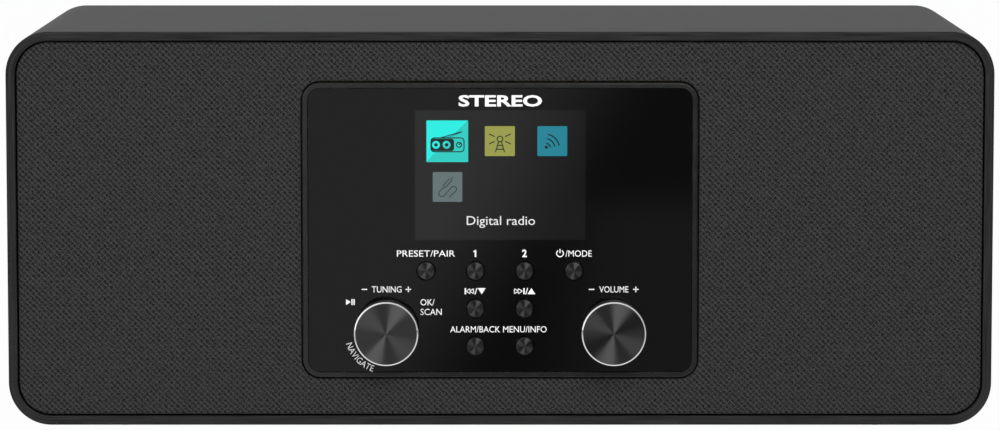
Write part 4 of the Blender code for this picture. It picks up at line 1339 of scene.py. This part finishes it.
# %% Legends
# Screen-printing ink: matt, opaque, a hair thick.
WHITE_INK = grained("white_screen_print", ("#f0f0f0", "#fafafa"), (0.5, 0.6), 0.4, 0.004)
LENS_FRONT = LENS_LOW[1]
PRINT = (LENS_FRONT - 0.05, LENS_FRONT + 0.02)
CAP = 2.1
PRINT_LINE = 0.34
BOLD = 0.0


def printed(words, left, right, low, cap=CAP, bold=BOLD):
    """Words printed on the lens."""
    return legend(words, left, right, low, cap, *PRINT, bold)


def mark(path, width=PRINT_LINE):
    """A printed stroke."""
    return stroke(path, width, *PRINT)


def patch(corners):
    """A printed shape, from its corners."""
    return plate([np.array(corners, float)], *PRINT, ease=0.01)


def round_word(word, centre, radius, start, end, cap=CAP):
    """A word bent round a circle, read from the outside of its lower left.
    A letter's point at height h and way s along the word goes to the angle
    start + s and the radius minus h, so that its tops face the middle."""
    points, faces, uv = letters(word, BOLD)
    x, y, z = points.T
    along = (x - x.min()) / np.ptp(x)
    angle = np.radians(start + along * (end - start))
    reach = radius + cap / 2 - z * cap / CAP_HEIGHT
    x = centre[0] + reach * np.cos(angle)
    y = PRINT[0] + (y + 0.5) * (PRINT[1] - PRINT[0])
    return np.stack([x, y, centre[1] + reach * np.sin(angle)], -1), faces, uv


words = [
    printed("STEREO", -14.0, 14.2, 108.8, 3.5, 0.03),
    printed("PRESET/PAIR", -34.95, -15.25, 57.6),
    printed("2", 7.5, 9.1, 57.5, 2.4, 0.03),
    printed("/MODE", 22.2, 31.1, 57.6),
    printed("TUNING", -43.5, -33.4, 45.35),
    printed("VOLUME", 33.7, 43.55, 45.35),
    printed("OK/", -27.0, -22.2, 40.95),
    printed("SCAN", -27.0, -19.8, 37.65),
    printed("ALARM/BACK", -16.9, 0.03, 31.7),
    printed("MENU/INFO", 1.05, 15.85, 31.7),
    round_word("NAVIGATE", (-38.75, 31.5), 13.0, 195.5, 251),
]
signs = [mark([(-8.3, 57.5), (-8.3, 59.9)], 0.55), mark([(-9.0, 59.25), (-8.3, 59.75)], 0.4)]
for x in (-46.0, -31.1, 31.07, 46.1):
    signs.append(mark([(x - 0.95, 46.4), (x + 0.95, 46.4)]))
for x in (-31.1, 46.1):
    signs.append(mark([(x, 45.45), (x, 47.35)]))
POWER = np.array([20.35, 58.7])
signs += [mark(arc(POWER, 1.15, 125, 415)), mark([POWER + (0, 0.1), POWER + (0, 1.5)])]
PLAY = np.array([-50.75, 42.07])
signs += [
    patch([PLAY + (-1.5, -1), PLAY + (0.1, 0), PLAY + (-1.5, 1)]),
    patch([PLAY + (0.3, -1), PLAY + (0.75, -1), PLAY + (0.75, 1), PLAY + (0.3, 1)]),
    patch([PLAY + (1.0, -1), PLAY + (1.45, -1), PLAY + (1.45, 1), PLAY + (1.0, 1)]),
]
SKIP_Z, SKIP_HALF = 45.8, 1.05
for way, left, right, tip in ((-1, -12.0, -4.85, -1), (1, 4.8, 12.0, 1)):
    # The bar, two open triangles, a slash, and a filled arrow.
    first = left if way < 0 else left + 3.1
    signs.append(
        patch(
            [
                (first, SKIP_Z - SKIP_HALF),
                (first + 0.5, SKIP_Z - SKIP_HALF),
                (first + 0.5, SKIP_Z + SKIP_HALF),
                (first, SKIP_Z + SKIP_HALF),
            ]
        )
    )
    for start in (0.55, 1.75) if way < 0 else (0.0, 1.3):
        x = left + start
        point, base = (x, x + 1.25) if way < 0 else (x + 1.5, x + 0.1)
        path = [
            (base, SKIP_Z - 0.85),
            (point, SKIP_Z),
            (base, SKIP_Z + 0.85),
            (base, SKIP_Z - 0.85),
        ]
        signs += [mark(path[i : i + 2], 0.26) for i in range(3)]
    slash = left + 3.5 if way < 0 else left + 3.9
    signs.append(mark([(slash, SKIP_Z - 1.1), (slash + 0.7, SKIP_Z + 1.1)], 0.3))
    middle_x = right - 1.35
    signs.append(
        patch(
            [
                (middle_x - 1.35, SKIP_Z - tip * SKIP_HALF),
                (middle_x + 1.35, SKIP_Z - tip * SKIP_HALF),
                (middle_x, SKIP_Z + tip * SKIP_HALF),
            ]
        )
    )
piece("panel_legends", [*words, *signs], [WHITE_INK], crease=20)

# %% [markdown]
# ## The back
#
# The back panel is moulded in grained black plastic and held by six screws.
# It carries the bass port, the sockets, and a rest for the antenna. It is
# a plate with holes; the port is turned, with a rounded mouth so that air
# leaves it without a hiss.

# %% Back panel
BACK_LOW, BACK_HIGH = room("back_panel")
BACK_W, BACK_H = BACK_HIGH[0] - BACK_LOW[0], BACK_HIGH[2] - BACK_LOW[2]
BACK_MIDDLE = (0, (BACK_LOW[2] + BACK_HIGH[2]) / 2)
BACK_FRONT, BACK_FACE = 144.0, 147.0
BACK_R = CORNER_R - (WIDTH - BACK_W) / 2
PORT = middle("bass_port")[[0, 2]]
SOCKETS = {"dc_jack": 4.5, "aux_jack": 3.3, "headphone_jack": 3.3}
socket_at = {name: np.array([middle(name)[0], 43.0]) for name in SOCKETS}
screw_at = [middle(f"back_screw_{i}")[[0, 2]] for i in range(1, 7)]
back_outlines = [
    rounded(BACK_W, BACK_H, BACK_R, 0, 12)[0, :-1] + BACK_MIDDLE,
    circle(16.3, PORT, 64),
    *(circle(SOCKETS[name] + 0.3, socket_at[name], 32) for name in SOCKETS),
    *(circle(1.6, at, 16) for at in screw_at),
]
LEDGE_W, LEDGE_T, LEDGE_R = 8.0, 2.0, 0.6
LEDGE_AT, LEDGE_ROOT, LEDGE_END = (-20.0, 111.2), 145.5, 158.5
BOSS_R, BOSS_END, BOSS_ROOT, BOSS_IN = 3, 132.0, 144.2, 5
ledge = moulding(
    eased([(2, LEDGE_ROOT), (0, LEDGE_ROOT), (0, LEDGE_END), (2, LEDGE_END)], 0.4, closed=False),
    LEDGE_W,
    LEDGE_T,
    LEDGE_R,
    LEDGE_AT,
    caps=True,
)
BOARD_LOW, BOARD_HIGH = room("main_board")
bosses = [
    turned(
        eased(
            [(0, BOSS_END), (BOSS_R, BOSS_END), (BOSS_R, BOSS_ROOT), (0, BOSS_ROOT)],
            0.2,
            closed=False,
        ),
        (x, z),
        steps=24,
    )
    for x in (BOARD_LOW[0] + BOSS_IN, BOARD_HIGH[0] - BOSS_IN)
    for z in (BOARD_LOW[2] + BOSS_IN, BOARD_HIGH[2] - BOSS_IN)
]
piece(
    "back_panel_moulded",
    [plate(back_outlines, BACK_FRONT, BACK_FACE, ease=0.3), ledge, *bosses],
    [BLACK_ABS],
    nodes=["back_panel"],
    crease=20,
)

# %% Bass port
BORE_R, TUBE_R, FLANGE_R = 14, 16, 22
TUBE_END, FLANGE_Y, MOUTH_Y = 104.3, 147.3, 149.3
piece(
    "bass_port_turned",
    [
        turned(
            eased(
                [
                    (BORE_R, TUBE_END),
                    (TUBE_R, TUBE_END),
                    (TUBE_R, FLANGE_Y),
                    (FLANGE_R, FLANGE_Y),
                    (FLANGE_R, MOUTH_Y),
                    (BORE_R + 2.5, MOUTH_Y),
                    (BORE_R, MOUTH_Y - 3.8),
                ],
                [0.3, 0.3, 0.1, 0.4, 0.7, 1.8, 1.5],
            ),
            PORT,
            steps=72,
        )
    ],
    [GLOSS_ABS],
    nodes=["bass_port"],
)


# %% Screws
SCREW_HEAD_R, SCREW_HEAD_T = 2.8, 1.8
RECESS_R, RECESS_HALF, RECESS_DEPTH = 1.5, 0.38, 0.9
for number, at in enumerate(screw_at, 1):
    low, high = room(f"back_screw_{number}")
    top, seat = high[1], high[1] - SCREW_HEAD_T
    radius = np.r_[np.linspace(0, 1.8, 13), 2.1, 2.4, 2.6, 2.72, 2.8, 2.8, 1.3, 1.3, 0]
    angle = np.linspace(0, 2 * np.pi, 49)[None, :]
    dome = top - 0.5 * (radius / SCREW_HEAD_R) ** 2 - 0.4 * (radius / SCREW_HEAD_R) ** 8
    dome[-5:] = [seat + 0.4, seat, seat, low[1], low[1]]
    across, up = radius[:, None] * np.cos(angle), radius[:, None] * np.sin(angle)
    slot_way = np.minimum(np.abs(across), np.abs(up))
    inside = (radius < RECESS_R)[:, None] & (np.arange(len(radius)) < 13)[:, None]
    taper = np.clip((RECESS_HALF + 0.12 - slot_way) / 0.12, 0, 1) * inside
    depth = dome[:, None] - RECESS_DEPTH * taper
    piece(
        f"back_screw_{number}_head",
        [skin(facing("Y", across + at[0], up + at[1], depth))],
        [STEEL],
        nodes=[f"back_screw_{number}"],
    )

# %% Sockets
COLLAR_T = 0.4
for name in ("aux_jack", "headphone_jack"):
    x, z = socket_at[name]
    nose = room(name)[1][1]
    collar = eased(
        [(1.85, nose - 0.6), (3.1, nose - 0.6), (3.1, nose + COLLAR_T), (1.85, nose + COLLAR_T)],
        [0.05, 0.05, 0.2, 0.25],
    )
    piece(f"{name}_collar", [turned(collar, (x, z), steps=40)], [STEEL])
BACK_PRINT = (BACK_FACE - 0.02, BACK_FACE + 0.05)


def back_words(words, centre, low, width, cap=2.4):
    """Words printed on the back, turned to be read from behind."""
    points, faces, uv = legend(words, -width / 2, width / 2, low, cap, *BACK_PRINT, BOLD)
    return points * (-1, 1, 1) + (centre, 0, 0), faces, uv


phones = socket_at["headphone_jack"] + (0, 8.6)
piece(
    "socket_legends",
    [
        back_words("DC IN", socket_at["dc_jack"][0], 50.4, 9.0),
        back_words("AUX IN", socket_at["aux_jack"][0], 50.4, 11.0),
        stroke(arc(phones, 1.7, -10, 190), 0.4, *BACK_PRINT),
        stroke([phones + (-1.7, -0.3), phones + (-1.7, -1.8)], 0.9, *BACK_PRINT),
        stroke([phones + (1.7, -0.3), phones + (1.7, -1.8)], 0.9, *BACK_PRINT),
    ],
    [WHITE_INK],
    crease=20,
)

# %% [markdown]
# ## The telescopic antenna
#
# Five chromed tubes slide in each other, and the last carries a turned
# button. Each tube's end is rolled in to hold the next one, and that bright
# little ring is what tells a telescopic antenna from a rod. The foot turns
# on the back panel, and its fork holds the elbow.

# %% Antenna
PIVOT_X, PIVOT_Y, PIVOT_Z = middle("antenna_pin")
knuckle_low = room("antenna_knuckle")[0]
WHIP_WALL = 0.35
SECTION_RADII = (3.5, 2.95, 2.4, 1.85, 1.3)
TIP_R, TIP_L = 3.5, 6.0
for number, radius in enumerate(SECTION_RADII, 1):
    low, high = room(f"antenna_section_{number}")
    start, end = high[0], low[0]
    inner = radius - WHIP_WALL
    skins = []
    if number < len(SECTION_RADII):
        tube = eased(
            [
                (radius, start),
                (radius, end + 1.4),
                (radius - 0.12, end + 1.1),
                (radius - 0.12, end),
                (inner, end),
                (inner, start),
            ],
            [0.15, 0.3, 0.2, 0.1, 0.05, 0.1],
        )
        skins.append(turned(tube, (PIVOT_Y, PIVOT_Z), "X", 40))
    else:
        rod = [(0, start), (radius - 0.1, start), (radius, start - 0.1)]
        rod += [(radius, end + TIP_L - 0.5), (0, end + TIP_L - 0.5)]
        skins.append(turned(rod, (PIVOT_Y, PIVOT_Z), "X", 40))
        tip = eased(
            [
                (0, end),
                (TIP_R - 0.3, end),
                (TIP_R, end + 1.6),
                (TIP_R - 0.5, end + 2.4),
                (TIP_R, end + 3.2),
                (TIP_R, end + TIP_L),
                (0, end + TIP_L),
            ],
            [0, 0.7, 0.3, 0.3, 0.3, 0.5, 0],
            closed=False,
        )
        skins.append(turned(tip, (PIVOT_Y, PIVOT_Z), "X", 40))
    piece(
        f"antenna_tube_{number}",
        skins,
        [CHROME],
        body=f"antenna_whip_{number}",
        nodes=[f"antenna_section_{number}"],
    )

piece(
    "antenna_knuckle_turned",
    [
        turned(
            eased(
                [(0, PIVOT_Z - 3), (3.7, PIVOT_Z - 3), (3.7, PIVOT_Z + 3), (0, PIVOT_Z + 3)],
                [0, 0.4, 0.4, 0],
                closed=False,
            ),
            (PIVOT_X, PIVOT_Y),
            "Z",
            40,
        ),
        turned(
            eased(
                [(0, PIVOT_X - 1), (2.9, PIVOT_X - 1), (2.9, knuckle_low[0]), (0, knuckle_low[0])],
                [0, 0, 0.3, 0],
                closed=False,
            ),
            (PIVOT_Y, PIVOT_Z),
            "X",
            40,
        ),
    ],
    [CHROME],
    body="antenna_whip_1",
    nodes=["antenna_knuckle"],
)
FORK_LOW, FORK_HIGH = room("antenna_fork")
EAR_HALF, EAR_ROOT, EAR_NEAR, EAR_FAR = 3.9, 149.5, 3.3, 6.0
STEM_R, FOOT_R, FOOT_FRONT, FOOT_BACK = 3, 7, 147.3, 149.8
ears = [
    moulding(
        eased(
            [
                (EAR_HALF, side * EAR_NEAR),
                (0, side * EAR_NEAR),
                (0, side * EAR_FAR),
                (EAR_HALF, side * EAR_FAR),
            ],
            0.35,
            closed=False,
        )
        + (0, PIVOT_Z),
        8.0,
        FORK_HIGH[1] - EAR_ROOT,
        EAR_HALF,
        (PIVOT_X, (FORK_HIGH[1] + EAR_ROOT) / 2),
        axis="Z",
        caps=True,
    )
    for side in (-1, 1)
]
piece(
    "antenna_fork_turned",
    [
        turned(
            eased(
                [(0, FORK_LOW[1]), (STEM_R, FORK_LOW[1]), (STEM_R, FOOT_FRONT)]
                + [(FOOT_R, FOOT_FRONT), (FOOT_R, FOOT_BACK), (0, FOOT_BACK)],
                [0, 0.3, 0.1, 0.2, 0.6, 0],
                closed=False,
            ),
            (PIVOT_X, PIVOT_Z),
            steps=48,
        ),
        *ears,
    ],
    [CHROME],
    body="antenna_swivel",
    nodes=["antenna_fork"],
)
pin_low, pin_high = room("antenna_pin")
piece(
    "antenna_pin_riveted",
    [
        turned(
            eased(
                [(0, pin_low[2]), (1.2, pin_low[2]), (1.2, pin_high[2]), (0, pin_high[2])],
                [0, 0.25, 0.25, 0],
                closed=False,
            ),
            (PIVOT_X, PIVOT_Y),
            "Z",
            24,
        )
    ],
    [STEEL],
    body="antenna_swivel",
    nodes=["antenna_pin"],
)

# %% [markdown]
# ## Feet and the parts inside
#
# The four feet are moulded rubber pads with a rounded edge. Everything else
# is inside the cabinet: its CAD shape is right, and only its material is
# made better, in one loop from finish to parts.

# %% Feet
for name in ("front_left", "front_right", "rear_left", "rear_right"):
    low, high = room(f"foot_{name}")
    foot_r = (high[0] - low[0]) / 2
    piece(
        f"foot_{name}_pad",
        [
            turned(
                eased(
                    [(0, low[2]), (foot_r - 0.5, low[2]), (foot_r, high[2]), (0, high[2])],
                    [0, 0.6, 0.2, 0],
                    closed=False,
                ),
                middle(f"foot_{name}")[:2],
                "Z",
                48,
            )
        ],
        [BLACK_RUBBER],
        nodes=[f"foot_{name}"],
    )

# %% Inside parts
INSIDE = {
    FIBREBOARD: ["front_baffle"],
    BLACK_ABS: [
        "grille_frame",
        "tuning_encoder",
        "volume_encoder",
        "tuning_plunger",
        "dc_jack",
        "aux_jack",
        "headphone_jack",
    ],
    CIRCUIT_BOARD: ["control_board", "main_board"],
    STEEL: ["tuning_shaft", "volume_shaft", "left_speaker_basket", "right_speaker_basket"],
    FERRITE: ["left_speaker_magnet", "right_speaker_magnet"],
    CONE_PAPER: ["left_speaker_cone", "right_speaker_cone"],
    BLACK_RUBBER: ["left_speaker_surround", "right_speaker_surround"],
    CABLE_JACKET: ["ribbon_cable", "left_speaker_lead", "right_speaker_lead"],
}
for finish, names in INSIDE.items():
    for name in names:
        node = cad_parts[name]
        node.data.materials.clear()
        node.data.materials.append(finish)
shown = sum(not node.hide_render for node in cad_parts.values())
print("CAD parts shown:", shown, "of them finished:", sum(map(len, INSIDE.values())))

# %% [markdown]
# ## Sizes and the end
#
# The looks must not change the radio's size, so the box of the CAD parts
# and the box of the finished pieces are written side by side.

# %% Sizes
boxes = {
    "cad": [list(corner) for corner in cad_box],
    "visual": [list(corner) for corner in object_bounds()],
}
for name, (low, high) in boxes.items():
    print(name, "mm:", [round((b - a) / MM, 2) for a, b in zip(low, high)])
